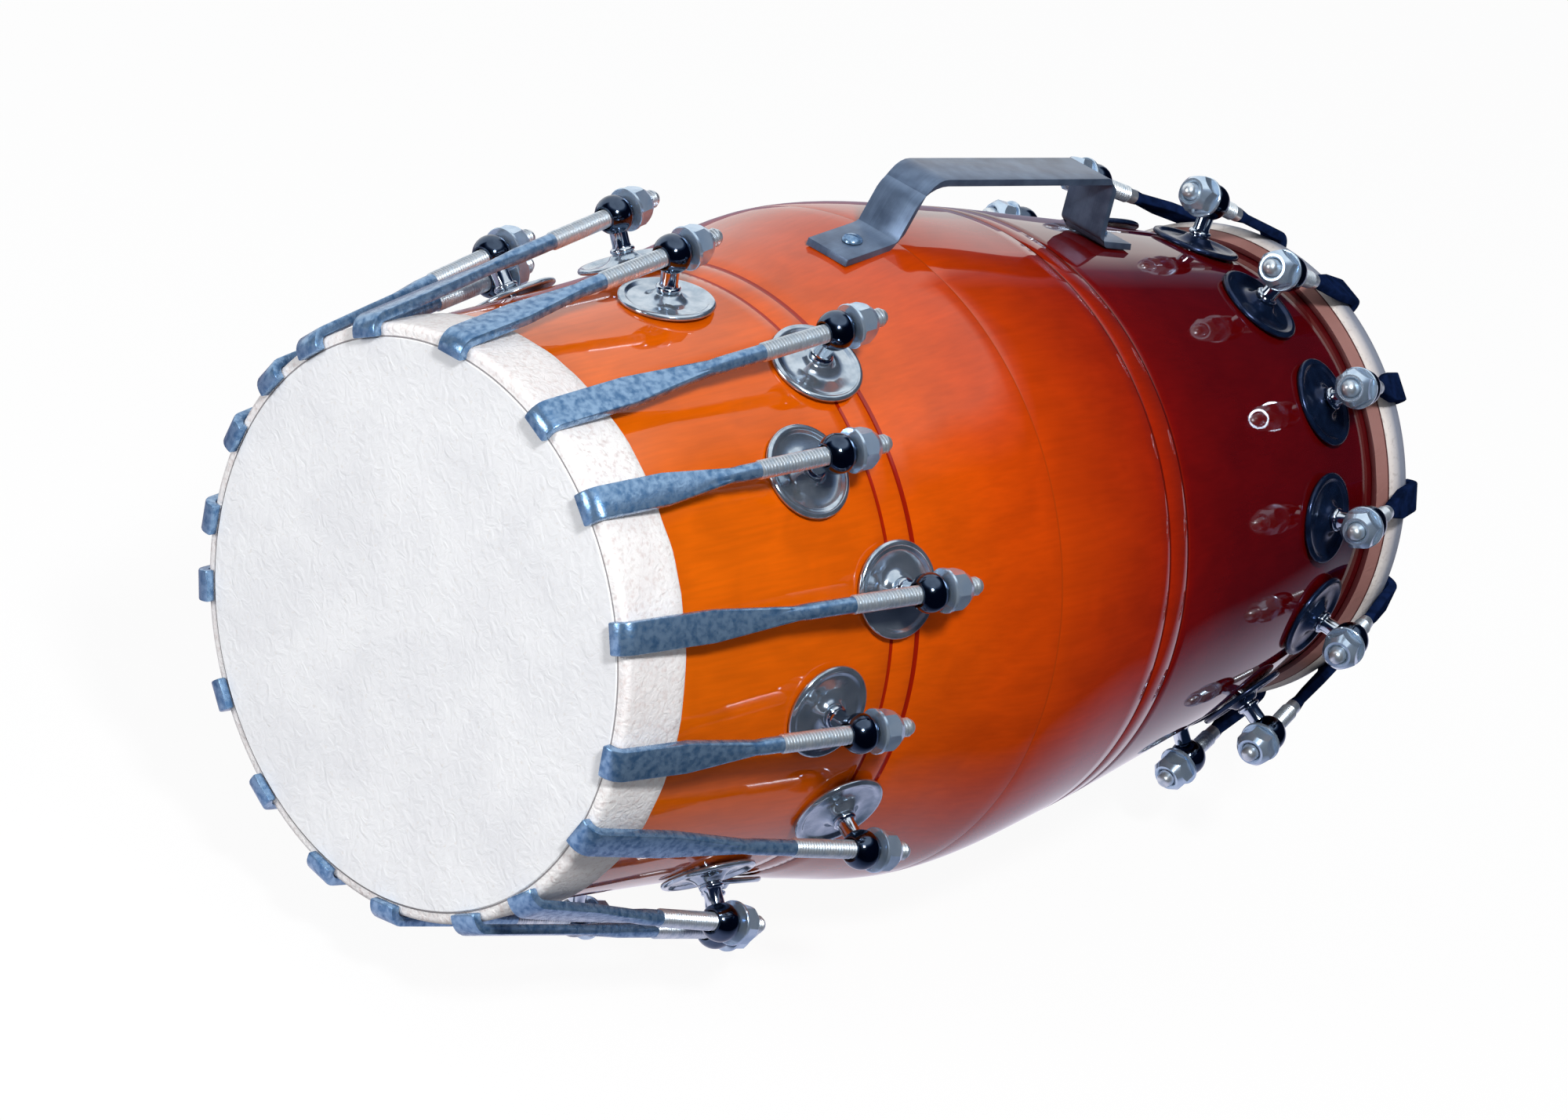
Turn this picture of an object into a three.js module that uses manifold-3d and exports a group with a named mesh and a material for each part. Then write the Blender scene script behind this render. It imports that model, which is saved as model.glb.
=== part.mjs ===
// A dholak: a two-headed barrel drum, tuned by steel hooks, eyebolts and nuts, with a strap handle.
// Millimetres. The drum lies along X: the bass playing face is the plane X = 0, facing -X, and the
// small treble face looks along +X. The handle is on top, at +Z.
import * as THREE from "three";
import { mergeVertices } from "three/addons/utils/BufferGeometryUtils.js";
import Module from "manifold-3d";

const wasm = await Module();
wasm.setup();

// The drum as a whole.
const DRUM_LENGTH = 507;
const BELLY_RADIUS = 143;
const BELLY_FROM_BASS = 236;
const WALL = 14;
const BEARING_EDGE_ROUND = 1.6;
const FIT_GAP = 0.3;

// The wood's outline, as shares of the way and of the rise from an end to the belly.
const BASS_OUTLINE_SHARES = [[0, 0], [0.14, 0.155], [0.4, 0.3], [0.62, 0.455], [0.8, 0.75], [1, 1]];
const TREBLE_OUTLINE_SHARES = [[0, 0], [0.07, 0.06], [0.25, 0.3], [0.5, 0.58], [0.736, 0.823], [1, 1]];

// The two heads: a hide lapped over a steel hoop that goes round the end of the wood.
const SKIN_THICKNESS = 1.5;
const BASS_HEAD = {
  woodRadius: 113.2,
  hoopThickness: 1.7,
  hoopWidth: 8.5,
  hideOverHoop: 2.8,
  collarLength: 33,
  collarEdge: 2.2,
  shoulderRadius: 3,
};
const TREBLE_HEAD = {
  woodRadius: 98.5,
  hoopThickness: 4.4,
  hoopWidth: 7,
  hideOverHoop: 3.1,
  collarLength: 20,
  collarEdge: 1.5,
  shoulderRadius: 3.2,
};
const FACE_STEP = 0.6;
const FACE_MARGIN = 0.7;
const MASALA_RADIUS = 46;
const MASALA_THICKNESS = 3;

// The tuning hooks: a flat strip with a lip that grips the rim, drawn down to a threaded rod.
const STRIP_WIDTH = 13;
const STRIP_THICKNESS = 4.2;
const STRIP_FULL_SHARE = 0.26;
const STRIP_END_SHARE = 0.58;
const LIP_DROP = 2.1;
const ROD_RADIUS = 3.9;
const ROD_PROTRUSION = 9;
const NUT_ACROSS_FLATS = 15;
const NUT_HEIGHT = 9.5;
const WASHER_RADIUS = 9.2;
const WASHER_THICKNESS = 1.6;

// The posts: an eyebolt through the wood, with a dished escutcheon outside and a nut inside.
const EYE_STANDOFF = 21;
const EYE_RADIUS = 8.2;
const EYE_WIDTH = 12.6;
const SHANK_RADIUS = 4;
const SHANK_HOLE_CLEARANCE = 0.6;
const INNER_NUT_ACROSS_FLATS = 13;
const INNER_NUT_HEIGHT = 6.5;
const INNER_NUT_GAP = 0.7;
const CUP_RADIUS = 20;
const CUP_RIM_HEIGHT = 2.2;
const CUP_BOSS_RADIUS = 7.5;
const CUP_BOSS_HEIGHT = 4.4;
const JOIN_DEPTH = 0.5;

// Places round the drum, in degrees: 90 is the top, where the handle is, and 180 is the -Y side.
const BASS_HOOK_ANGLES = [45, 62, 86, 112, 131, 156, 180, 197, 219, 236, 259, 278, 299, 320, 342, 356, 15, 31];
const BASS_POST_ANGLES = [45, 62, 87, 113, 133, 157, 178, 203, 226, 240, 260, 279, 299, 320, 341, 357, 15, 31];
const BASS_NEAR_POST = 113;
const BASS_FAR_POST = 145;
const BASS_JOINTED = 9;
const TREBLE_COUNT = 14;
const TREBLE_FIRST_ANGLE = 164;
const TREBLE_NEAR_POST = 55;
const TREBLE_FAR_POST = 66;

// The strap handle along the top. Its front is placed from the bass face, its rear from the treble face,
// and its top from the wood under it.
const HANDLE_WIDTH = 23;
const HANDLE_THICKNESS = 3;
const HANDLE_FRONT_TIP = 196;
const HANDLE_FRONT_BEND = 225;
const HANDLE_FRONT_TOP = 237;
const HANDLE_REAR_BEND = 147;
const HANDLE_REAR_TIP = 125;
const HANDLE_FRONT_RISE = 27;
const HANDLE_REAR_RISE = 29;
const HANDLE_SOFT_BEND = 11;
const HANDLE_SHARP_BEND = 5;
const SCREW_RADIUS = 2;
const SCREW_LENGTH = 12;
const SCREW_HEAD_RADIUS = 4.4;
const SCREW_HEAD_HEIGHT = 2.2;

// How finely round things are cut into flats.
const DRUM_SIDES = 36;
const NUT_SIDES = 6;
const WOOD_STEPS = 5;
const CUP_SIDES = 10;
const EYE_SIDES = 10;
const EYE_STEPS = 2;
const ROD_SIDES = 8;
const BORE_SIDES = 8;
const BEND_STEPS = 2;
const SLOPE_STEP = 0.01;
const SEAT_STEPS = 6;

const MATERIALS = {
  varnished_wood: { color: 0xb8430d, roughness: 0.22, metalness: 0 },
  rawhide: { color: 0xe9e6e2, roughness: 0.75, metalness: 0 },
  tuning_paste: { color: 0x2a2320, roughness: 0.9, metalness: 0 },
  hoop_steel: { color: 0x6c7076, roughness: 0.45, metalness: 1 },
  plated_steel: { color: 0xb9c1cc, roughness: 0.2, metalness: 1 },
};

// Helpers that make closed solids, and cut and join them.

function solidOf(geometry, matrix = new THREE.Matrix4()) {
  const bare = geometry.index ? geometry.toNonIndexed() : geometry.clone();
  bare.deleteAttribute("normal");
  bare.deleteAttribute("uv");
  bare.applyMatrix4(matrix);
  const merged = mergeVertices(bare);
  const vertProperties = merged.getAttribute("position").array;
  const triVerts = new Uint32Array(merged.index.array);
  return new wasm.Manifold(new wasm.Mesh({ numProp: 3, vertProperties, triVerts }));
}

function geometryOf(solid) {
  const mesh = solid.getMesh();
  const geometry = new THREE.BufferGeometry();
  const positions = new Float32Array(mesh.vertProperties);
  geometry.setAttribute("position", new THREE.BufferAttribute(positions, 3));
  geometry.setIndex(new THREE.BufferAttribute(new Uint32Array(mesh.triVerts), 1));
  geometry.computeVertexNormals();
  return geometry;
}

function joined(pieces) {
  return pieces.reduce((sum, piece) => sum.add(piece));
}

// Pieces are joined in the frame that they were drawn in, and moved afterwards.
function moved(solid, matrix) {
  return solidOf(geometryOf(solid), matrix);
}

// Turns an outline of [along X, radius] points round the X axis.
function turned(outline, sides) {
  const points = outline.map(([along, radius]) => new THREE.Vector2(radius, along));
  return new THREE.LatheGeometry(points, sides).rotateZ(-Math.PI / 2);
}

// A round or many-sided bar between two heights on the Z axis.
function barAlongZ(radius, from, to, sides) {
  const corners = Array.from({ length: sides }, (_, i) => {
    const turn = (i / sides) * 2 * Math.PI;
    return new THREE.Vector2(radius * Math.cos(turn), radius * Math.sin(turn));
  });
  const options = { depth: to - from, bevelEnabled: false };
  return new THREE.ExtrudeGeometry(new THREE.Shape(corners), options).translate(0, 0, from);
}

function barAlongX(radius, from, to, sides) {
  return barAlongZ(radius, from, to, sides).rotateY(Math.PI / 2);
}

// Joins a row of four-cornered sections into one closed bar.
function lofted(sections) {
  const corners = sections.flat();
  const sides = sections[0].length;
  const faces = [[0, 1, 2], [0, 2, 3]];
  const last = corners.length - sides;
  faces.push([last + 2, last + 1, last], [last + 3, last + 2, last]);
  for (let start = 0; start < last; start += sides) {
    for (let side = 0; side < sides; side += 1) {
      const here = start + side;
      const beside = start + ((side + 1) % sides);
      faces.push([here, here + sides, beside], [beside, here + sides, beside + sides]);
    }
  }
  const geometry = new THREE.BufferGeometry().setFromPoints(corners);
  return geometry.setIndex(faces.flat());
}

// Gives a line of points the thickness of a strap, with mitred corners.
function strapOutline(points, thickness) {
  const above = [];
  const below = [];
  points.forEach((point, i) => {
    const arriving = point.clone().sub(points[Math.max(i - 1, 0)]).normalize();
    const leaving = points[Math.min(i + 1, points.length - 1)].clone().sub(point).normalize();
    const along = arriving.clone().add(leaving).normalize();
    const mitre = thickness / 2 / along.dot(i ? arriving : leaving);
    const across = new THREE.Vector2(-along.y, along.x).multiplyScalar(mitre);
    above.unshift(point.clone().add(across));
    below.push(point.clone().sub(across));
  });
  return new THREE.Shape([...below, ...above]);
}

// Extrudes a shape drawn in X and Z across Y, with half its width on each side.
function acrossY(shape, width) {
  const geometry = new THREE.ExtrudeGeometry(shape, { depth: width, bevelEnabled: false });
  return geometry.translate(0, 0, -width / 2).rotateX(Math.PI / 2);
}

// The wood's outline.

function knotsOf(shares, endRadius, toLength, fromBass) {
  return shares.map(([way, rise]) => [fromBass(way * toLength), endRadius + rise * (BELLY_RADIUS - endRadius)]);
}

const WOOD_KNOTS = [
  ...knotsOf(BASS_OUTLINE_SHARES, BASS_HEAD.woodRadius, BELLY_FROM_BASS, (way) => way),
  ...knotsOf(
    TREBLE_OUTLINE_SHARES.slice(0, -1),
    TREBLE_HEAD.woodRadius,
    DRUM_LENGTH - BELLY_FROM_BASS,
    (way) => DRUM_LENGTH - way,
  ).reverse(),
];

// The slope at a knot that keeps the curve smooth and level at the belly.
function knotSlope(i) {
  const here = WOOD_KNOTS[i];
  const before = WOOD_KNOTS[Math.max(i - 1, 0)];
  const after = WOOD_KNOTS[Math.min(i + 1, WOOD_KNOTS.length - 1)];
  const left = i > 0 ? (here[1] - before[1]) / (here[0] - before[0]) : null;
  const right = i < WOOD_KNOTS.length - 1 ? (after[1] - here[1]) / (after[0] - here[0]) : null;
  if (left === null) return right;
  if (right === null) return left;
  return left * right > 0 ? (2 * left * right) / (left + right) : 0;
}

// The wood's outer radius at a distance from the bass face.
function woodRadius(x) {
  const last = WOOD_KNOTS.length - 2;
  const found = WOOD_KNOTS.findIndex((knot) => x < knot[0]) - 1;
  const i = THREE.MathUtils.clamp(x < WOOD_KNOTS[0][0] ? 0 : found < 0 ? last : found, 0, last);
  const [fromX, fromRadius] = WOOD_KNOTS[i];
  const [toX, toRadius] = WOOD_KNOTS[i + 1];
  const span = toX - fromX;
  const t = (x - fromX) / span;
  const t2 = t * t;
  const t3 = t2 * t;
  return (
    (2 * t3 - 3 * t2 + 1) * fromRadius +
    (t3 - 2 * t2 + t) * span * knotSlope(i) +
    (3 * t2 - 2 * t3) * toRadius +
    (t3 - t2) * span * knotSlope(i + 1)
  );
}

// A point of the bore, one wall inside the point of the outside at x.
function borePoint(x) {
  const step = SLOPE_STEP * WALL;
  const slope = (woodRadius(x + step) - woodRadius(x - step)) / (2 * step);
  const length = Math.hypot(1, slope);
  return [x + (slope / length) * WALL, woodRadius(x) - WALL / length];
}

// An end of the drum: its head's sizes, and the wood measured inwards from its playing face.
// The collar's bore and the wood under it are cut at the same places, and the hoop clears the wood where
// its pocket ends.
function endOf(head, fromFace) {
  const woodStart = FACE_STEP + SKIN_THICKNESS + FIT_GAP;
  const hoopEnd = woodStart + head.hoopWidth;
  const pocketEnd = hoopEnd + FIT_GAP;
  const pocketRadius = woodRadius(fromFace(pocketEnd)) + head.hoopThickness + 2 * FIT_GAP;
  return {
    ...head,
    woodStart,
    hoopEnd,
    pocketEnd,
    pocketRadius,
    rimRadius: pocketRadius + head.hideOverHoop,
    bendX: FACE_STEP + head.shoulderRadius,
    bendRadius: pocketRadius + head.hideOverHoop - head.shoulderRadius,
    collarSeats: [pocketEnd, (pocketEnd + head.collarLength) / 2, head.collarLength],
    fromFace,
    radiusAt: (along) => surfaceRadius(fromFace(along)),
  };
}

const bassEnd = endOf(BASS_HEAD, (along) => along);
const trebleEnd = endOf(TREBLE_HEAD, (along) => DRUM_LENGTH - along);

// The rings that half of the wood is turned in, from its bearing edge to just before the belly.
function halfRings(end) {
  const first = end.collarLength;
  const belly = Math.abs(BELLY_FROM_BASS - end.fromFace(0));
  const rings = [end.woodStart + BEARING_EDGE_ROUND, ...end.collarSeats];
  for (let i = 1; i < WOOD_STEPS; i += 1) rings.push(THREE.MathUtils.lerp(first, belly, i / WOOD_STEPS));
  return rings.map(end.fromFace);
}

const WOOD_RINGS = [...halfRings(bassEnd), BELLY_FROM_BASS, ...halfRings(trebleEnd).reverse()];

// The radius of the wood's surface between two rings, where it runs straight.
function surfaceRadius(x) {
  const next = THREE.MathUtils.clamp(WOOD_RINGS.findIndex((ring) => x < ring), 1, WOOD_RINGS.length - 1);
  const from = WOOD_RINGS[next - 1];
  const to = WOOD_RINGS[next];
  return THREE.MathUtils.mapLinear(x, from, to, woodRadius(from), woodRadius(to));
}

// A flat seat on the wood: it spans a foot, and rests on the highest places under it.
function seatOn(end, along, reach) {
  const low = end.radiusAt(along - reach);
  const high = end.radiusAt(along + reach);
  const slope = (high - low) / (2 * reach);
  const steps = 2 * SEAT_STEPS;
  let lift = 0;
  for (let i = 0; i <= steps; i += 1) {
    const way = (i / SEAT_STEPS - 1) * reach;
    lift = Math.max(lift, end.radiusAt(along + way) - (low + high) / 2 - slope * way);
  }
  const height = (low + high) / 2 + lift;
  return { slope, height, lift: height - end.radiusAt(along) };
}

// The parts of a head, each turned round X with its playing face at X = 0.

// The flat playing face ends at a crease, inside the hooks' lips, and the rim lies a step behind it.
function skin(end) {
  const shoulder = end.shoulderRadius;
  const faceRadius = end.bendRadius - LIP_DROP - FACE_MARGIN;
  const arc = [];
  for (let i = 0; i <= BEND_STEPS; i += 1) {
    const turn = (i / BEND_STEPS) * (Math.PI / 2);
    arc.push([end.bendX - shoulder * Math.cos(turn), end.bendRadius + shoulder * Math.sin(turn)]);
  }
  const bore = end.collarSeats.map((along) => [along, end.radiusAt(along) + FIT_GAP]).reverse();
  return turned(
    [
      [0, 0],
      [0, faceRadius],
      [FACE_STEP, faceRadius + FACE_STEP],
      ...arc,
      [end.pocketEnd, end.rimRadius],
      [end.collarLength, bore[0][1] + end.collarEdge],
      ...bore,
      [end.pocketEnd, end.pocketRadius],
      [FACE_STEP + SKIN_THICKNESS, end.pocketRadius],
      [FACE_STEP + SKIN_THICKNESS, 0],
    ],
    DRUM_SIDES,
  );
}

function hoop(end) {
  const outer = end.pocketRadius - FIT_GAP;
  const inner = end.radiusAt(end.pocketEnd) + FIT_GAP;
  return turned(
    [
      [end.woodStart, inner],
      [end.woodStart, outer],
      [end.hoopEnd, outer],
      [end.hoopEnd, inner],
      [end.woodStart, inner],
    ],
    DRUM_SIDES,
  );
}

function masala() {
  const face = FACE_STEP + SKIN_THICKNESS + FIT_GAP;
  return barAlongX(MASALA_RADIUS, face, face + MASALA_THICKNESS, DRUM_SIDES);
}

// The frame of a flat seat: on the wood, with Z along the seat's normal.
function seatFrame(end, along, reach) {
  const seat = seatOn(end, along, reach);
  const frame = new THREE.Object3D();
  frame.position.set(along, 0, seat.height);
  frame.rotation.y = -Math.atan(seat.slope);
  frame.updateMatrix();
  return frame.matrix;
}

function postFrame(end, along) {
  return seatFrame(end, along, CUP_RADIUS);
}

// Where the hook lies: the eye's centre, the turn sideways and the dip that lays the strip on the rim.
function hookLine(end, along, sidewaysAngle) {
  const eye = new THREE.Vector3(0, 0, EYE_STANDOFF).applyMatrix4(postFrame(end, along));
  const { bendX, bendRadius } = end;
  const sideways = Math.atan((bendRadius * Math.sin(sidewaysAngle)) / (eye.x - bendX));
  const lipRoom = (STRIP_WIDTH / 2) * Math.tan(Math.abs(sideways));
  const bend = end.shoulderRadius + FIT_GAP + lipRoom + STRIP_THICKNESS / 2;
  const level = (eye.x - bendX) / Math.cos(sideways);
  const drop = eye.z - bendRadius * Math.cos(sidewaysAngle);
  const reach = Math.hypot(level, drop);
  const dip = Math.atan2(drop, level) - Math.asin(bend / reach);
  return { eye, sideways, dip, bend, length: Math.sqrt(reach * reach - bend * bend) };
}

// The hook's frame: at the eye, with X along the rod, away from the rim.
function hookFrame(line) {
  const frame = new THREE.Object3D();
  frame.position.copy(line.eye);
  frame.rotation.set(0, -line.dip, line.sideways, "ZYX");
  frame.updateMatrix();
  return frame.matrix;
}

// The flats of a bore stand clear of the rod however the two are turned.
const boreRadius = (ROD_RADIUS + FIT_GAP) / Math.cos(Math.PI / BORE_SIDES);
const washerStart = EYE_WIDTH / 2 + FIT_GAP;
const nutStart = washerStart + WASHER_THICKNESS;
const nutEnd = nutStart + NUT_HEIGHT;
const nutCorner = NUT_ACROSS_FLATS / Math.sqrt(3);
const innerNutCorner = INNER_NUT_ACROSS_FLATS / Math.sqrt(3);

// One section of the strip, across the line that its middle follows.
function stripSection(x, z, lean, width) {
  const up = new THREE.Vector3(-Math.sin(lean), 0, Math.cos(lean)).multiplyScalar(STRIP_THICKNESS / 2);
  const middle = new THREE.Vector3(x, 0, z);
  const side = new THREE.Vector3(0, width / 2, 0);
  const top = middle.clone().add(up);
  const bottom = middle.clone().sub(up);
  return [top.clone().sub(side), bottom.clone().sub(side), bottom.clone().add(side), top.clone().add(side)];
}

function hookSolid(line) {
  const stripEnd = line.length * STRIP_FULL_SHARE - line.length;
  const taperEnd = line.length * STRIP_END_SHARE - line.length;
  const sweep = Math.PI / 2 - line.dip;
  const sections = [
    stripSection(taperEnd, 0, 0, 2 * ROD_RADIUS),
    stripSection(stripEnd, 0, 0, STRIP_WIDTH),
  ];
  for (let i = 0; i <= BEND_STEPS; i += 1) {
    const lean = (i / BEND_STEPS) * sweep;
    const x = -line.length - line.bend * Math.sin(lean);
    sections.push(stripSection(x, line.bend * (Math.cos(lean) - 1), lean, STRIP_WIDTH));
  }
  const lipX = -line.length - line.bend * Math.sin(sweep) - LIP_DROP * Math.cos(sweep);
  const lipZ = line.bend * (Math.cos(sweep) - 1) - LIP_DROP * Math.sin(sweep);
  sections.push(stripSection(lipX, lipZ, sweep, STRIP_WIDTH));
  const rod = barAlongX(ROD_RADIUS, taperEnd - JOIN_DEPTH, nutEnd + ROD_PROTRUSION, ROD_SIDES);
  return solidOf(lofted(sections)).add(solidOf(rod));
}

function withoutRepeats(points) {
  return points.filter((point, i) => i === 0 || point.distanceTo(points[i - 1]) > FIT_GAP / 2);
}

// A hexagon nut and its washer on the rod, bored for it, or solid where they are joined to it.
function nutSolid(bored) {
  const hexagon = solidOf(barAlongX(nutCorner, nutStart, nutEnd, NUT_SIDES));
  const washer = solidOf(barAlongX(WASHER_RADIUS, washerStart, nutStart + JOIN_DEPTH, ROD_SIDES));
  const nut = hexagon.add(washer);
  if (!bored) return nut;
  return nut.subtract(solidOf(barAlongX(boreRadius, 0, nutEnd + NUT_HEIGHT, BORE_SIDES)));
}

// The eyebolt's ball, flat where the rod comes out, bored for it, or solid where it is joined to it.
function eyeSolid(bored) {
  const reach = Math.asin(EYE_WIDTH / 2 / EYE_RADIUS);
  const outline = [[-EYE_WIDTH / 2, 0]];
  for (let i = -EYE_STEPS; i <= EYE_STEPS; i += 1) {
    const turn = (i / EYE_STEPS) * reach;
    outline.push([EYE_RADIUS * Math.sin(turn), EYE_RADIUS * Math.cos(turn)]);
  }
  outline.push([EYE_WIDTH / 2, 0]);
  const ball = solidOf(turned(outline, EYE_SIDES));
  if (!bored) return ball;
  return ball.subtract(solidOf(barAlongX(boreRadius, -EYE_WIDTH, EYE_WIDTH, BORE_SIDES)));
}

// How deep the inner nut lies, so that its flat face clears the hollow curve of the bore.
function innerSeat(end, along) {
  const inside = end.radiusAt(along) - WALL;
  const hollow = inside - Math.sqrt(inside ** 2 - innerNutCorner ** 2);
  const seat = seatOn(end, along, CUP_RADIUS);
  const tilt = Math.abs(seatOn(end, along, innerNutCorner).slope - seat.slope) * innerNutCorner;
  return WALL + hollow + seat.lift + tilt + INNER_NUT_GAP;
}

// The shank and the escutcheon, turned in one outline, with the nut inside.
function postSolid(end, along) {
  const seat = innerSeat(end, along);
  const cupTop = FIT_GAP + CUP_BOSS_HEIGHT;
  const shankTop = EYE_STANDOFF - (boreRadius + EYE_RADIUS) / 2;
  const outline = [
    [-seat - JOIN_DEPTH, 0],
    [-seat - JOIN_DEPTH, SHANK_RADIUS],
    [FIT_GAP, SHANK_RADIUS],
    [FIT_GAP, CUP_RADIUS],
    [FIT_GAP + CUP_RIM_HEIGHT, CUP_RADIUS],
    [cupTop, CUP_BOSS_RADIUS],
    [cupTop, SHANK_RADIUS],
    [shankTop, SHANK_RADIUS],
    [shankTop, 0],
  ];
  const upright = solidOf(turned(outline, CUP_SIDES).rotateY(-Math.PI / 2));
  return upright.add(solidOf(barAlongZ(innerNutCorner, -seat - INNER_NUT_HEIGHT, -seat, NUT_SIDES)));
}

// A tuner's frame on the drum: its own X runs inwards from its playing face, and Z outwards.
function tunerGroup(end, angle) {
  const group = new THREE.Group();
  group.rotation.x = THREE.MathUtils.degToRad(angle - 90);
  if (end === trebleEnd) {
    group.position.x = DRUM_LENGTH;
    group.rotation.set(group.rotation.x, 0, Math.PI, "XYZ");
  }
  group.updateMatrixWorld(true);
  return group;
}

function named(name, material, geometry) {
  const mesh = new THREE.Mesh(geometry, materials[material]);
  mesh.name = name;
  return mesh;
}

const materials = Object.fromEntries(
  Object.entries(MATERIALS).map(([name, values]) => [name, new THREE.MeshStandardMaterial(values)]),
);

// The tuners round both rims. The near and the far posts take turns.

function bassTuners() {
  return BASS_POST_ANGLES.map((angle, i) => ({
    name: String(i + 1).padStart(2, "0"),
    end: bassEnd,
    angle,
    hookAngle: BASS_HOOK_ANGLES[i],
    along: i % 2 ? BASS_FAR_POST : BASS_NEAR_POST,
    jointed: i < BASS_JOINTED,
  }));
}

function trebleTuners() {
  return Array.from({ length: TREBLE_COUNT }, (_, i) => {
    const angle = TREBLE_FIRST_ANGLE + (i * 360) / TREBLE_COUNT;
    return {
      name: String(i + 1).padStart(2, "0"),
      end: trebleEnd,
      angle,
      hookAngle: angle,
      along: i % 2 ? TREBLE_NEAR_POST : TREBLE_FAR_POST,
      jointed: false,
    };
  });
}

const tuners = [...bassTuners(), ...trebleTuners()];

// A bass tuner's pieces are nodes of their own where it is jointed. The others are one node each.
function tuner(spec) {
  const group = tunerGroup(spec.end, spec.angle);
  const sidewaysAngle = THREE.MathUtils.degToRad(spec.hookAngle - spec.angle);
  const line = hookLine(spec.end, spec.along, sidewaysAngle);
  const frame = hookFrame(line);
  const steel = "plated_steel";
  const post = moved(postSolid(spec.end, spec.along), postFrame(spec.end, spec.along));
  const eye = eyeSolid(spec.jointed);
  const hook = hookSolid(line);
  const nut = nutSolid(spec.jointed);
  if (spec.jointed) {
    group.add(
      named(`bass_post_${spec.name}`, steel, geometryOf(post.add(moved(eye, frame)))),
      named(`bass_hook_${spec.name}`, steel, geometryOf(moved(hook, frame))),
      named(`bass_nut_${spec.name}`, steel, geometryOf(moved(nut, frame))),
    );
    return group;
  }
  const whole = post.add(moved(joined([hook, eye, nut]), frame));
  const side = spec.end === bassEnd ? "bass" : "treble";
  group.add(named(`${side}_tuner_${spec.name}`, steel, geometryOf(whole)));
  return group;
}

function tunerHole(spec) {
  const matrix = tunerGroup(spec.end, spec.angle).matrixWorld.clone();
  matrix.multiply(postFrame(spec.end, spec.along));
  const hole = barAlongZ(SHANK_RADIUS + SHANK_HOLE_CLEARANCE, -2 * WALL, WALL, ROD_SIDES);
  return solidOf(hole, matrix);
}

// The handle, and its two screws.

const footLift = FIT_GAP + HANDLE_THICKNESS / 2;
const HANDLE_FEET = {
  handle_front_screw: [HANDLE_FRONT_TIP, HANDLE_FRONT_BEND],
  handle_rear_screw: [DRUM_LENGTH - HANDLE_REAR_BEND, DRUM_LENGTH - HANDLE_REAR_TIP],
};

// The two ends of a foot's middle line, on the seat that it rests on.
function footLine([from, to]) {
  const reach = (to - from) / 2;
  const seat = seatOn(bassEnd, from + reach, reach);
  return [-reach, reach].map((way) => {
    return new THREE.Vector2(from + reach + way, seat.height + seat.slope * way + footLift);
  });
}

function handlePath() {
  const [frontTip, frontBend] = footLine(HANDLE_FEET.handle_front_screw);
  const [rearLeg, rearTip] = footLine(HANDLE_FEET.handle_rear_screw);
  const frontTop = new THREE.Vector2(HANDLE_FRONT_TOP, surfaceRadius(HANDLE_FRONT_TOP) + HANDLE_FRONT_RISE);
  const rearTop = rearLeg.clone().add(new THREE.Vector2(0, HANDLE_REAR_RISE));
  const path = new THREE.Path();
  path.moveTo(frontTip.x, frontTip.y);
  roundCorner(path, frontTip, frontBend, frontTop, HANDLE_SHARP_BEND);
  roundCorner(path, frontBend, frontTop, rearTop, HANDLE_SOFT_BEND);
  roundCorner(path, frontTop, rearTop, rearLeg, HANDLE_SHARP_BEND);
  roundCorner(path, rearTop, rearLeg, rearTip, HANDLE_SHARP_BEND);
  path.lineTo(rearTip.x, rearTip.y);
  return withoutRepeats(path.getPoints(BEND_STEPS));
}

function roundCorner(path, before, corner, after, size) {
  const start = corner.clone().add(before.clone().sub(corner).setLength(size));
  const end = corner.clone().add(after.clone().sub(corner).setLength(size));
  path.lineTo(start.x, start.y);
  path.quadraticCurveTo(corner.x, corner.y, end.x, end.y);
}

// A screw's frame: in the middle of its foot, with Z out of the wood.
function screwFrame([from, to]) {
  return seatFrame(bassEnd, (from + to) / 2, (to - from) / 2);
}

function screwHole(foot) {
  const radius = SCREW_RADIUS + FIT_GAP;
  const hole = barAlongZ(radius, -SCREW_LENGTH - FIT_GAP, HANDLE_THICKNESS + WALL / 2, ROD_SIDES);
  return solidOf(hole, screwFrame(foot));
}

function screw() {
  const headStart = HANDLE_THICKNESS + 2 * FIT_GAP;
  const headEnd = headStart + SCREW_HEAD_HEIGHT;
  const outline = [
    [-SCREW_LENGTH, 0],
    [-SCREW_LENGTH + SCREW_RADIUS, SCREW_RADIUS],
    [headStart, SCREW_RADIUS],
    [headStart, SCREW_HEAD_RADIUS],
    [headEnd, SCREW_HEAD_RADIUS / 2],
    [headEnd, 0],
  ];
  return turned(outline, ROD_SIDES).rotateY(-Math.PI / 2);
}

function handle() {
  const strap = solidOf(acrossY(strapOutline(handlePath(), HANDLE_THICKNESS), HANDLE_WIDTH));
  return Object.values(HANDLE_FEET).reduce((left, foot) => left.subtract(screwHole(foot)), strap);
}

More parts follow.
